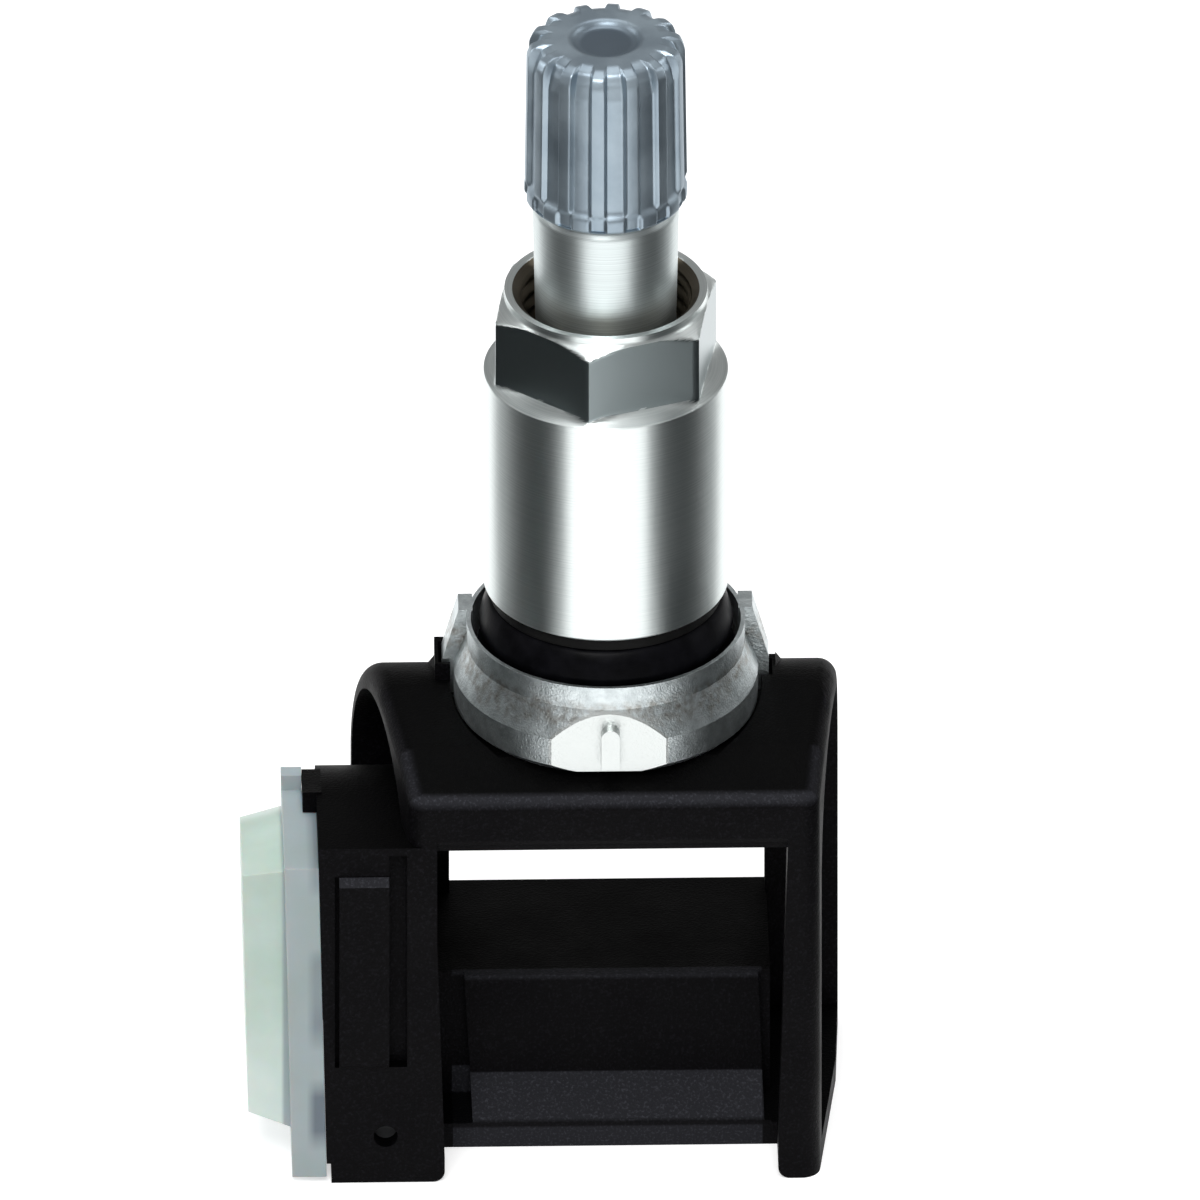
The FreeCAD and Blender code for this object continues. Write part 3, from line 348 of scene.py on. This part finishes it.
# Cover: milky polypropylene plate with a boss over the cell, welded along its edge to the
# box's open face. The box shows through it behind the weld as a broken dark line.
cover_edge = 0.3
boss_top = -20.0
boss_foot = -28.0
plate_side = -18.95
weld_side = -17.1
weld_width = 0.5
weld_strength = 0.85
tab_top = -12.5
tab_foot = -13.75
tab_side = -17.6
tab_lower = 0.6
tab_front = -0.6
boss_green = (0.48, 0.62, 0.54, 1)
boss_pale = (0.78, 0.88, 0.84, 1)
plate_grey = (0.36, 0.44, 0.43, 1)
plate_blue = (0.42, 0.49, 0.52, 1)
weld_dark = (0.12, 0.15, 0.19, 1)


def cover_material():
    """Milky plastic: the boss greener, the plate greyer, and dark where the box shows through."""
    material, tree, shader = new_material("cover_plastic", Roughness=0.3, IOR=1.49,
                                          Subsurface_Weight=0.3, Subsurface_Scale=0.0012,
                                          Transmission_Weight=0.1, Specular_IOR_Level=0.4)
    grain = put(tree, surface_grain, Grain_mm=0.5, Depth_mm=0.008, Patch_mm=9.0)
    sides = split(tree, place(tree))
    height = ramp(tree, sides["Z"], boss_top, boss_foot)
    lower = calc(tree, "MULTIPLY", calc(tree, "ADD", height, grain["Patches"]), 0.5)
    boss = blend_colours(tree, lower, boss_green, boss_pale)
    plate = blend_colours(tree, grain["Patches"], plate_grey, plate_blue)
    upright = add(tree, "CombineXYZ", {2: sides["Z"]}).outputs[0]
    shown = ramp(tree, noise(tree, upright, 0.14, 1.0), 0.44, 0.56)
    inner = ramp(tree, sides["X"], weld_side - weld_width, weld_side)
    through = calc(tree, "MULTIPLY", calc(tree, "MULTIPLY", shown, inner), weld_strength)
    lined = blend_colours(tree, through, plate, weld_dark)
    inward = ramp(tree, sides["X"], plate_side - 0.1, plate_side + 0.1)
    wire(tree, shader, Base_Color=blend_colours(tree, inward, boss, lined), Normal=grain["Normal"])
    return material


def mend_cover(corner):
    """Lowers the tab and sets its front back, to the photo's small one."""
    x, y, z = corner
    if z > tab_top:
        z -= tab_lower
    if abs(y - ear_front) < 0.01 and z > tab_foot and x < tab_side:
        y = tab_front
    return Vector((x, y, z))


cover = rounded_copy("welded_cover", "cover", cover_edge, mend=mend_cover)
finish_piece(cover, cover_material(), "sensor", "cover_plastic", "cover")

# Electronics: the cell, its tabs, the board and what is soldered to it, the gel over them and
# the filter in the air port. They sit under the cover and keep the forms of the solids, so
# here they get their surfaces only.
solder_mask = (0.02, 0.13, 0.05, 1)
solder_mask_light = (0.04, 0.20, 0.08, 1)
chip_epoxy = (0.02, 0.02, 0.022, 1)
chip_dust = (0.06, 0.06, 0.06, 1)
coil_copper = (0.72, 0.33, 0.16, 1)
coil_shade = (0.40, 0.16, 0.08, 1)
fired_ceramic = (0.45, 0.33, 0.22, 1)
ceramic_dark = (0.30, 0.21, 0.13, 1)
membrane_light = (0.060, 0.062, 0.065, 1)
membrane_dark = (0.030, 0.031, 0.033, 1)
resin_grey = (0.20, 0.24, 0.25, 1)
resin_light = (0.34, 0.38, 0.39, 1)
steel_bright = (0.62, 0.61, 0.59, 1)
steel_dull = (0.48, 0.48, 0.47, 1)
rubber_black = (0.0020, 0.0020, 0.0026, 1)
rubber_grey = (0.0045, 0.0045, 0.0060, 1)


def grained_material(name, first, second, rough, metal=0.0, grain_mm=0.1, depth_mm=0.01, gloss=0.5):
    """A surface between two colours with a fine grain."""
    material, tree, shader = new_material(name, Metallic=metal, Specular_IOR_Level=gloss)
    grain = put(tree, surface_grain, Grain_mm=grain_mm, Depth_mm=depth_mm, Patch_mm=1.5)
    wire(tree, shader, Base_Color=blend_colours(tree, grain["Patches"], first, second),
         Roughness=spread(tree, grain["Patches"], rough - 0.05, rough + 0.05),
         Normal=grain["Normal"])
    return material


def surface(material, *names):
    """Gives CAD nodes that stay in the scene their material."""
    for name in names:
        nodes[name].data.materials.clear()
        nodes[name].data.materials.append(material)


steel = grained_material("steel", steel_bright, steel_dull, 0.32, metal=1.0, depth_mm=0.004)
rubber = grained_material("rubber", rubber_black, rubber_grey, 0.38, grain_mm=0.3, depth_mm=0.008,
                          gloss=0.05)
surface(steel, "battery", "battery_tabs", "crystal")
surface(grained_material("board_green", solder_mask, solder_mask_light, 0.4), "circuit_board")
surface(grained_material("chip_black", chip_epoxy, chip_dust, 0.6), "sensor_chip")
surface(grained_material("copper", coil_copper, coil_shade, 0.35, metal=1.0), "antenna_coil")
surface(grained_material("ceramic", fired_ceramic, ceramic_dark, 0.6), "capacitors")
surface(grained_material("filter_felt", membrane_light, membrane_dark, 0.8), "port_filter")
surface(grained_material("potting_gel", resin_grey, resin_light, 0.25), "potting")
surface(rubber, "port_gasket")

# Foot: zinc die casting that holds the stem and cups the seal. It keeps its cast grain, with
# a band of dark specks below the rim, apart from the milled facet at the front.
foot_edge = 0.14
facet_depth = 8.1
speck_low = -5.4
speck_high = -3.4
zinc_light = (0.74, 0.80, 0.81, 1)
zinc_dark = (0.52, 0.57, 0.58, 1)
zinc_speck = (0.30, 0.28, 0.25, 1)
zinc_milled = (0.66, 0.69, 0.68, 1)


def cast_material():
    """Cast zinc, speckled below the rim, and bright metal where the facet is milled."""
    material, tree, shader = new_material("zinc_cast", Metallic=1.0)
    grain = put(tree, surface_grain, Grain_mm=0.14, Depth_mm=0.035, Patch_mm=0.8)
    sides = split(tree, place(tree))
    milled = ramp(tree, sides["Y"], -facet_depth, -facet_depth - 0.05)
    cast = blend_colours(tree, grain["Patches"], zinc_dark, zinc_light)
    wander = noise(tree, place(tree), 0.5, 2.0)
    height = calc(tree, "ADD", sides["Z"], calc(tree, "MULTIPLY_ADD", wander, 3.0, -1.5))
    over = ramp(tree, height, speck_low, speck_low + 0.6)
    under = ramp(tree, sides["Z"], speck_high - 0.5, speck_high, 1.0, 0.0)
    dark = ramp(tree, noise(tree, place(tree), 2.2, 4.0), 0.38, 0.78)
    specks = calc(tree, "MULTIPLY", calc(tree, "MULTIPLY", over, under), dark)
    spotted = blend_colours(tree, specks, cast, zinc_speck)
    wire(tree, shader, Base_Color=blend_colours(tree, milled, spotted, zinc_milled),
         Roughness=spread(tree, milled, 0.38, 0.3), Normal=grain["Normal"])
    return material


foot = rounded_copy("cast_foot", "valve_foot", foot_edge, flat=20)
finish_piece(foot, cast_material(), "sensor", "zinc_cast", "valve_foot")

# Retaining screw and its washer: zinc-plated steel. The screw goes from inside the loop up
# into the stem and holds the housing and the foot on it.
screw_edge = 0.12
for name, node in (("hollow_screw", "retaining_screw"), ("plain_washer", "screw_washer")):
    finish_piece(rounded_copy(name, node, screw_edge), steel, "sensor", "steel", node)

# Stem: turned from aluminium bar, with a one-millimetre thread for the nut below its smooth
# neck and the finer valve thread for the cap at its top.
around = 192
crease = math.radians(35)
thread_step = 0.1
thread_flank = 1.4
nut_pitch = 1.0
stem_crest = 5.08
stem_root = 4.74
stem_thread = (-4.4, 14.9)
stem_run = 0.6
stem_rows = (-4.6, 34.6, thread_step)
valve_pitch = 0.794
valve_crest = 3.85
valve_root = 3.42
valve_thread = (26.6, 34.5)
valve_run = 0.4
stem_outline = [
    (2.51, -8.0), (3.4, -8.0), (3.4, -5.2), (4.93, -5.2), (4.93, 15.2), (4.07, 16.6),
    (4.27, 25.4), (4.02, 25.9), (3.85, 25.9), (3.85, 34.3), (3.35, 34.8), (2.6, 34.8),
    (2.6, 24.6), (2.2, 24.6), (2.2, 16.0), (1.6, 16.0), (1.6, -2.0), (2.51, -2.0),
]
stem_light = (0.76, 0.82, 0.82, 1)
stem_dark = (0.62, 0.68, 0.68, 1)


def soften(outline, reach):
    """An outline with each corner off the axis turned into a short curve."""
    points = []
    for number, spot in enumerate(outline):
        corner = Vector(spot)
        if corner.x == 0:
            points.append(tuple(corner))
            continue
        before = Vector(outline[number - 1]) - corner
        after = Vector(outline[(number + 1) % len(outline)]) - corner
        start = corner + before * min(reach / before.length, 0.4)
        end = corner + after * min(reach / after.length, 0.4)
        for t in (0, 0.25, 0.5, 0.75, 1):
            point = start * (1 - t) ** 2 + corner * 2 * t * (1 - t) + end * t ** 2
            points.append(tuple(point))
    return points


def divide(outline, fine):
    """An outline cut into short steps between two heights, where a thread or rib shapes it."""
    low, high, step = fine
    rows = []
    for number, start in enumerate(outline):
        end = outline[(number + 1) % len(outline)]
        rows.append(start)
        steps = math.ceil(math.dist(start, end) / step)
        for k in range(1, steps):
            height = start[1] + (end[1] - start[1]) * k / steps
            if low < height < high:
                rows.append((start[0] + (end[0] - start[0]) * k / steps, height))
    return rows


def skin(rings, count, closed):
    """Faces between rings of count points each, and from the last ring to the first if closed."""
    faces = []
    for ring in range(rings if closed else rings - 1):
        here = ring * count
        there = (ring + 1) % rings * count
        for row in range(count):
            above = (row + 1) % count
            faces.append((here + row, there + row, there + above, here + above))
    return faces


def shell(name, points, faces):
    """A piece from points in millimetres, with its faces outward and its creases kept sharp."""
    mesh = bpy.data.meshes.new(name)
    mesh.from_pydata([[value * MM for value in point] for point in points], [], faces)
    form = bmesh.new()
    form.from_mesh(mesh)
    bmesh.ops.remove_doubles(form, verts=form.verts, dist=same_place / 4 * MM)
    bmesh.ops.recalc_face_normals(form, faces=form.faces)
    form.to_mesh(mesh)
    form.free()
    mesh.shade_smooth()
    mesh.set_sharp_from_angle(angle=crease)
    return in_scene(name, mesh)


def lathe(name, outline, shape=None, fine=(0, 0, 1), steps=around):
    """A piece turned about the valve's axis from a closed outline of radius and height. shape
    gives the true radius at an angle, counted from the front towards +X."""
    rows = divide(outline, fine)
    points = []
    for step in range(steps):
        angle = 2 * math.pi * step / steps
        for radius, height in rows:
            reach = shape(angle, radius, height) if shape and radius > 0 else radius
            points.append((reach * math.sin(angle), -reach * math.cos(angle), height))
    return shell(name, points, skin(steps, len(rows), True))


def share(value):
    """A value kept between 0 and 1."""
    return min(max(value, 0), 1)


def thread(angle, height, pitch):
    """How far the thread stands between its root, 0, and its crest, 1."""
    phase = (height / pitch - angle / (2 * math.pi)) % 1
    return share((abs(2 * phase - 1) - 0.5) * thread_flank + 0.5)


def fade(height, low, high, run):
    """Runs from 0 to 1 inside both ends of a stretch."""
    return min(share((height - low) / run), share((high - height) / run))


def stem_shape(angle, radius, height):
    """Radius of the stem with both of its threads."""
    if radius > 4.9:
        cut = stem_root + (stem_crest - stem_root) * thread(angle, height, nut_pitch)
        return radius + (cut - radius) * fade(height, *stem_thread, stem_run)
    if 3.8 < radius < 3.9:
        cut = valve_root + (valve_crest - valve_root) * thread(angle, height, valve_pitch)
        return radius + (cut - radius) * fade(height, *valve_thread, valve_run)
    return radius


def off_axis(tree, sides):
    """How far a place is from the valve's axis."""
    across = add(tree, "CombineXYZ", {0: sides["X"], 1: sides["Y"]}).outputs[0]
    return add(tree, "VectorMath", {0: across}, operation="LENGTH").outputs["Value"]


def turning_group():
    """Rings that a lathe tool leaves: a normal, a mask of brighter and darker rings, and masks
    of where the piece is milled and of its bore."""
    tree, inside, outside = new_group(
        "turning_rings",
        [("Ring mm", "Float", 0.08), ("Depth mm", "Float", 0.003), ("Plain from mm", "Float", 0.0),
         ("Plain to mm", "Float", 0.0), ("Plain radius mm", "Float", 100.0),
         ("Bore radius mm", "Float", 0.0)],
        [("Normal", "Vector"), ("Rings", "Float"), ("Milled", "Float"), ("Bore", "Float")],
    )
    given = inside.outputs
    sides = split(tree, place(tree))
    radius = off_axis(tree, sides)
    facing = split(tree, add(tree, "NewGeometry").outputs["True Normal"])
    level = calc(tree, "ABSOLUTE", facing["Z"])
    ends = calc(tree, "GREATER_THAN", level, 0.3)
    outward = calc(tree, "MULTIPLY", radius, ends)
    line = add(tree, "CombineXYZ", {0: outward, 1: sides["Z"]}).outputs[0]
    fineness = calc(tree, "DIVIDE", 1.0, given["Ring mm"])
    rings = noise(tree, line, fineness, 3.0, noise_dimensions="2D")
    above = calc(tree, "GREATER_THAN", sides["Z"], given["Plain from mm"])
    below = calc(tree, "LESS_THAN", sides["Z"], given["Plain to mm"])
    wide = calc(tree, "GREATER_THAN", radius, given["Plain radius mm"])
    upright = calc(tree, "LESS_THAN", level, 0.3)
    milled = calc(tree, "MULTIPLY", calc(tree, "MULTIPLY", above, below), wide)
    milled = calc(tree, "MULTIPLY", milled, upright)
    height = calc(tree, "MULTIPLY", rings, calc(tree, "SUBTRACT", 1.0, milled))
    wire(tree, outside, Normal=raised(tree, height, given["Depth mm"]),
         Rings=ramp(tree, height, 0.35, 0.65), Milled=milled,
         Bore=calc(tree, "LESS_THAN", radius, given["Bore radius mm"]))
    return tree


turning_rings = turning_group()


def turned_material(name, light, dark, rough, spun=0.8, milled=(1, 1, 1, 1), bore_shade=(1, 1, 1, 1),
                    **places):
    """Turned metal, whose rings spread its highlights along the axis. places says where it is milled
    and where its bore is; the milled colour tints it where it is milled, and the bore colour darkens
    its bore as painted shade."""
    material, tree, shader = new_material(name, Metallic=1.0, Anisotropic=spun,
                                          Anisotropic_Rotation=0.25)
    rings = put(tree, turning_rings, Ring_mm=0.09, **places)
    colour = blend_colours(tree, rings["Rings"], dark, light)
    # The bore tint is painted shade inside the bore.
    for mask, tint in (("Milled", milled), ("Bore", bore_shade)):
        colour = blend_colours(tree, rings[mask], colour, tint, blend_type="MULTIPLY")
    tangent = add(tree, "Tangent", direction_type="RADIAL", axis="Z").outputs[0]
    wire(tree, shader, Base_Color=colour, Normal=rings["Normal"], Tangent=tangent,
         Roughness=spread(tree, rings["Rings"], rough - 0.05, rough + 0.05))
    return material


stem_metal = turned_material("stem_aluminium", stem_light, stem_dark, 0.42, spun=0.5)
stem = lathe("valve_stem_turned", soften(stem_outline, 0.12), stem_shape, stem_rows)
finish_piece(stem, stem_metal, "sensor", "aluminium_turned", "valve_stem")

# Valve core: a brass barrel screwed into the stem, with a sealing sleeve, a pin that carries
# the rubber-faced poppet below, and the steel spring that holds it shut.
core_edge = 0.07
spring_wire = 0.12
spring_radius = 1.1
spring_turns = 5
spring_foot = 21.93
spring_top = 27.07
brass_light = (0.78, 0.60, 0.30, 1)
brass_dark = (0.62, 0.45, 0.20, 1)


def coil_spring(name):
    """Round wire wound into an even helix."""
    points = []
    steps = spring_turns * 32
    sides = 10
    for step in range(steps + 1):
        angle = 2 * math.pi * spring_turns * step / steps
        height = spring_foot + (spring_top - spring_foot) * step / steps
        for side in range(sides):
            turn = 2 * math.pi * side / sides
            reach = spring_radius + spring_wire * math.cos(turn)
            points.append((reach * math.cos(angle), reach * math.sin(angle),
                           height + spring_wire * math.sin(turn)))
    faces = skin(steps + 1, sides, False)
    faces.append(tuple(range(sides)))
    faces.append(tuple(range(steps * sides + sides - 1, steps * sides - 1, -1)))
    return shell(name, points, faces)


brass = turned_material("brass", brass_light, brass_dark, 0.3)
barrel = rounded_copy("core_barrel", "valve_core_body", core_edge)
finish_piece(barrel, brass, "sensor", "brass", "valve_core_body")
pin = rounded_copy("core_pin", "valve_core_pin", core_edge)
finish_piece(pin, brass, "pin", "brass", "valve_core_pin")
surface(rubber, "valve_core_washer", "valve_core_poppet")
spring = coil_spring("core_spring")
finish_piece(spring, steel, "sensor", "steel", "valve_core_spring")
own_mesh(spring)

# Rubber seal: a moulded ring that stands in the foot's cup. The nut presses it there through
# the slip washer, so that it closes the hole in the wheel's rim.
seal_outline = [
    (4.95, -5.18), (7.54, -5.18), (7.54, -4.3), (7.1, -3.4), (7.45, -2.55), (7.1, -1.4),
    (6.75, -0.83), (4.95, -0.83),
]
seal = lathe("sealing_ring", soften(seal_outline, 0.3))
finish_piece(seal, rubber, "sensor", "rubber", "rubber_seal")

# Slip washer: a thin ring of hard black plastic between the seal and the nut. It lets the nut
# turn without dragging the rubber, and lifts off with the nut.
slip_outline = [(4.99, -0.8), (6.75, -0.8), (6.75, -0.02), (4.99, -0.02)]
slip_black = (0.004, 0.004, 0.004, 1)
slip_grey = (0.008, 0.008, 0.008, 1)
slip_plastic = grained_material("slip_plastic", slip_black, slip_grey, 0.5, gloss=0.08)
slip = lathe("slip_ring", soften(slip_outline, 0.1))
finish_piece(slip, slip_plastic, "nut_washer", "slip_plastic", "slip_washer")

# Union nut: turned from hexagon bar, with a long plain sleeve, chamfered corners and a
# one-millimetre thread in the upper part of its bore.
hexagon_flats = 12.0
hexagon_turn = math.radians(-9.8)
hexagon_foot = 14.4
hexagon_top = 19.5
hexagon_corner = hexagon_flats / 2 / math.cos(math.pi / 6)
flat_reach = hexagon_flats / 2 - 0.1
bar_spare = 0.2
chamfer_slope = math.tan(math.radians(30))
chamfer_high = 0.75
chamfer_spare = 0.05
shoulder_flare = 0.19
shoulder_slope = 0.9
shoulder_high = 0.5
sleeve_bore = 5.9
nut_crest = 4.80
nut_root = 5.14
nut_thread = (10.9, 19.3)
nut_run = 0.35
nut_rows = (10.8, 19.7, thread_step)
bore_reach = 5.45
nut_outline = [
    (6.97, 0.0), (7.12, 0.15), (7.12, 14.4), (6.93, 14.6), (6.93, 19.2), (6.6, 19.65),
    (6.2, 19.8), (5.5, 19.8), (4.99, 19.3), (4.99, 11.0), (5.9, 10.2), (5.9, 0.0),
]
nut_light = (0.88, 0.93, 0.92, 1)
nut_dark = (0.76, 0.82, 0.81, 1)
nut_milled = (0.52, 0.55, 0.57, 1)
# Painted shade for the inside of the nut's bore.
nut_bore_shade = (0.16, 0.13, 0.10, 1)


def nut_shape(angle, radius, height):
    """Radius of the nut: six flats cut into the bar above the sleeve, and the thread inside."""
    if radius > sleeve_bore + 0.05 and height > hexagon_foot:
        turn = (angle - hexagon_turn) % (math.pi / 3) - math.pi / 6
        flat = hexagon_flats / 2 / math.cos(turn)
        over = max(height - hexagon_top + chamfer_high, 0)
        cone = hexagon_corner + chamfer_spare - over / chamfer_slope
        foot = hexagon_corner + shoulder_flare - (height - hexagon_foot) * shoulder_slope
        rise = share((height - hexagon_foot) / shoulder_high)
        reach = min(flat, max(cone, flat_reach))
        return min(radius + bar_spare, max(reach, foot) * (1 - rise) + reach * rise)
    if 4.9 < radius < 5.1:
        cut = nut_root - (nut_root - nut_crest) * (1 - thread(angle, height, nut_pitch))
        return radius + (cut - radius) * fade(height, *nut_thread, nut_run)
    return radius


nut_metal = turned_material("nut_aluminium", nut_light, nut_dark, 0.34, milled=nut_milled,
                            bore_shade=nut_bore_shade, Plain_from_mm=hexagon_foot, Plain_to_mm=hexagon_top,
                            Plain_radius_mm=flat_reach, Bore_radius_mm=bore_reach)
nut = lathe("turned_union_nut", soften(nut_outline, 0.08), nut_shape, nut_rows)
finish_piece(nut, nut_metal, "nut", "aluminium_turned", "union_nut")

# Cap: moulded screw cap with fourteen ribs for the fingers, which roll over its shoulder, and
# a shallow dimple where the mould was filled.
cap_ribs = 14
cap_turn = math.radians(-7)
cap_steps = cap_ribs * 32
cap_rows = (26.2, 36.9, 0.15)
cap_inside = 3.92
cap_roof = 36.5
cap_hem = 26.15
dimple_rim = 2.2
hollow_reach = 2.3
hollow_run = 0.9
rib_depth = 0.29
rib_share = 0.44
rib_flank = 0.24
rib_foot = 27.0
rib_foot_run = 0.45
rib_foot_bump = 0.2
shoulder_foot = 34.9
shoulder_run = 1.1
shoulder_cut = 0.22
crown_run = 1.4
cap_outline = [
    (4.55, 26.1), (4.75, 26.3), (4.62, 35.85), (4.37, 36.45), (3.77, 36.7), (2.1, 36.7),
    (1.75, 36.35), (0, 36.35), (0, 35.8), (3.91, 35.8), (3.91, 26.1),
]
cap_light = (0.40, 0.48, 0.54, 1)
cap_dark = (0.31, 0.38, 0.44, 1)
# Painted shade for the cap's dimple.
cap_dimple_shade = (0.15, 0.19, 0.23, 1)


def cap_shape(angle, radius, height):
    """Radius of the cap: grooves between the ribs, deepest at the shoulder, and a bump at the foot
    of each."""
    if radius < dimple_rim or radius < cap_inside and height < cap_roof or height < cap_hem:
        return radius
    phase = ((angle - cap_turn) * cap_ribs / (2 * math.pi)) % 1
    side = min(phase, 1 - phase) * 2
    groove = share((side - rib_share) / rib_flank + 0.5)
    groove = groove * groove * (3 - 2 * groove)
    foot = share((height - rib_foot) / rib_foot_run)
    shoulder = share((height - shoulder_foot) / shoulder_run)
    inward = share((radius - dimple_rim) / crown_run)
    depth = (rib_depth + shoulder_cut * shoulder) * foot * inward * groove
    bump = rib_foot_bump * (1 - foot) * (1 - groove)
    return radius - depth - bump


def cap_material():
    """Smooth moulding with a metallic grey finish, and painted shade in the dimple."""
    material, tree, shader = new_material("cap_plastic", Metallic=0.9)
    grain = put(tree, surface_grain, Grain_mm=0.2, Depth_mm=0.006, Patch_mm=2.5)
    radius = off_axis(tree, split(tree, place(tree)))
    # Painted shade in the dimple.
    dimple_shade = ramp(tree, radius, hollow_reach, hollow_reach - hollow_run)
    plain = blend_colours(tree, grain["Patches"], cap_dark, cap_light)
    wire(tree, shader, Base_Color=blend_colours(tree, dimple_shade, plain, cap_dimple_shade),
         Roughness=spread(tree, grain["Patches"], 0.40, 0.46), Normal=grain["Normal"])
    return material


cap = lathe("ribbed_cap", soften(cap_outline, 0.2), cap_shape, cap_rows, cap_steps)
finish_piece(cap, cap_material(), "cap", "cap_plastic", "valve_cap")
surface(rubber, "cap_gasket")

# Floor and backdrop: one plain pale sheet under the sensor, white to the camera and to metal,
# so that only the sensor's own shadow shows on it.
floor_level = cad_low.z
floor_wide = 2.0
floor_glow = 0.55
bpy.ops.mesh.primitive_plane_add(size=floor_wide, location=(0, 0, floor_level))
floor = bpy.context.object
floor.name = "floor"
floor_material, floor_tree, floor_shader = new_material("floor_sheet", Base_Color=(0.8, 0.8, 0.8, 1),
                                                        Roughness=0.9, Emission_Color=(1, 1, 1, 1))
rays = add(floor_tree, "LightPath").outputs
mirrored = calc(floor_tree, "MAXIMUM", rays["Is Glossy Ray"], rays["Is Transmission Ray"])
seen = calc(floor_tree, "MAXIMUM", rays["Is Camera Ray"], mirrored)
wire(floor_tree, floor_shader, Emission_Strength=calc(floor_tree, "MULTIPLY", seen, floor_glow))
floor.data.materials.append(floor_material)

# Dark cards: one on each side, out of the picture, which the metal mirrors as its dark bands.
# They are black in the middle and pale towards both ends, so that the bands have soft edges.
card_side = 0.032
card_front = -0.046
card_back = 0.018
card_half = (card_back - card_front) / 2
card_high = 0.07
card_gap = 0.0005
card_core = 0.45
card_pale = (0.45, 0.47, 0.47, 1)
card_black = (0.012, 0.016, 0.018, 1)


def card_material():
    """Dull black that pales from its core towards both ends."""
    material, tree, shader = new_material("dark_card", Roughness=0.9)
    offset = calc(tree, "ABSOLUTE", split(tree, place(tree))["X"])
    paling = ramp(tree, offset, card_half / MM * card_core, card_half / MM)
    wire(tree, shader, Base_Color=blend_colours(tree, paling, card_black, card_pale))
    return material


def dark_card(name, side, material):
    """An upright sheet that only reflections show."""
    mesh = bpy.data.meshes.new(name)
    mesh.from_pydata([(-card_half, 0, 0), (card_half, 0, 0), (card_half, 0, card_high),
                      (-card_half, 0, card_high)], [], [(0, 1, 2, 3)])
    card = in_scene(name, mesh)
    card.location = (side * card_side, (card_back + card_front) / 2, floor_level + card_gap)
    card.rotation_euler = (0, 0, math.radians(90))
    card.data.materials.append(material)
    card.visible_diffuse = False
    card.visible_shadow = False
    card.visible_camera = False
    card.visible_transmission = False


card_finish = card_material()
dark_card("left_card", -1, card_finish)
dark_card("right_card", 1, card_finish)

# Camera: from the front, a little to the left of it and well above, without perspective. Its
# scale and centre are those of the photo.
camera_side = -1.2
camera_rise = 30.9
camera_far = 0.6
px_per_mm = 17.2
photo_px = 1200
origin_px = (605.8, 579.5)
camera_data = bpy.data.cameras.new("camera")
camera_data.type = "ORTHO"
camera_data.ortho_scale = photo_px / px_per_mm * MM
camera = in_scene("camera", camera_data)
bpy.context.scene.camera = camera
turn = math.radians(camera_side)
rise = math.radians(camera_rise)
away = Vector((math.sin(turn) * math.cos(rise), -math.cos(turn) * math.cos(rise), math.sin(rise)))
right = Vector((math.cos(turn), math.sin(turn), 0))
up = right.cross(-away)
centre = (right * (photo_px / 2 - origin_px[0]) + up * (origin_px[1] - photo_px / 2)) * (MM / px_per_mm)
camera.location = centre + away * camera_far
camera.rotation_euler = away.to_track_quat("Z", "Y").to_euler()

# Lights: a large soft box in front above, a weaker one on top, a side light each side, and a
# pale room around them.
room_light = 0.26
world = bpy.data.worlds.new("room")
bpy.context.scene.world = world
world.use_nodes = True
world.node_tree.nodes["Background"].inputs["Color"].default_value = (1, 1, 1, 1)
world.node_tree.nodes["Background"].inputs["Strength"].default_value = room_light


def soft_box(name, spot, wide, high, power):
    """A rectangular lamp that faces the sensor."""
    lamp_data = bpy.data.lights.new(name, "AREA")
    lamp_data.shape = "RECTANGLE"
    lamp_data.size = wide
    lamp_data.size_y = high
    lamp_data.energy = power
    lamp = in_scene(name, lamp_data)
    lamp.location = spot
    lamp.rotation_euler = Vector(spot).to_track_quat("Z", "Y").to_euler()


soft_box("front_box", (-0.05, -0.36, 0.46), 0.28, 0.28, 2.4)
soft_box("top_box", (0.0, 0.15, 0.6), 0.4, 0.4, 0.9)
soft_box("left_box", (-0.5, 0.1, 0.2), 0.15, 0.4, 0.9)
soft_box("right_box", (0.5, 0.1, 0.2), 0.15, 0.4, 0.7)

bpy.context.scene.view_settings.view_transform = "Standard"
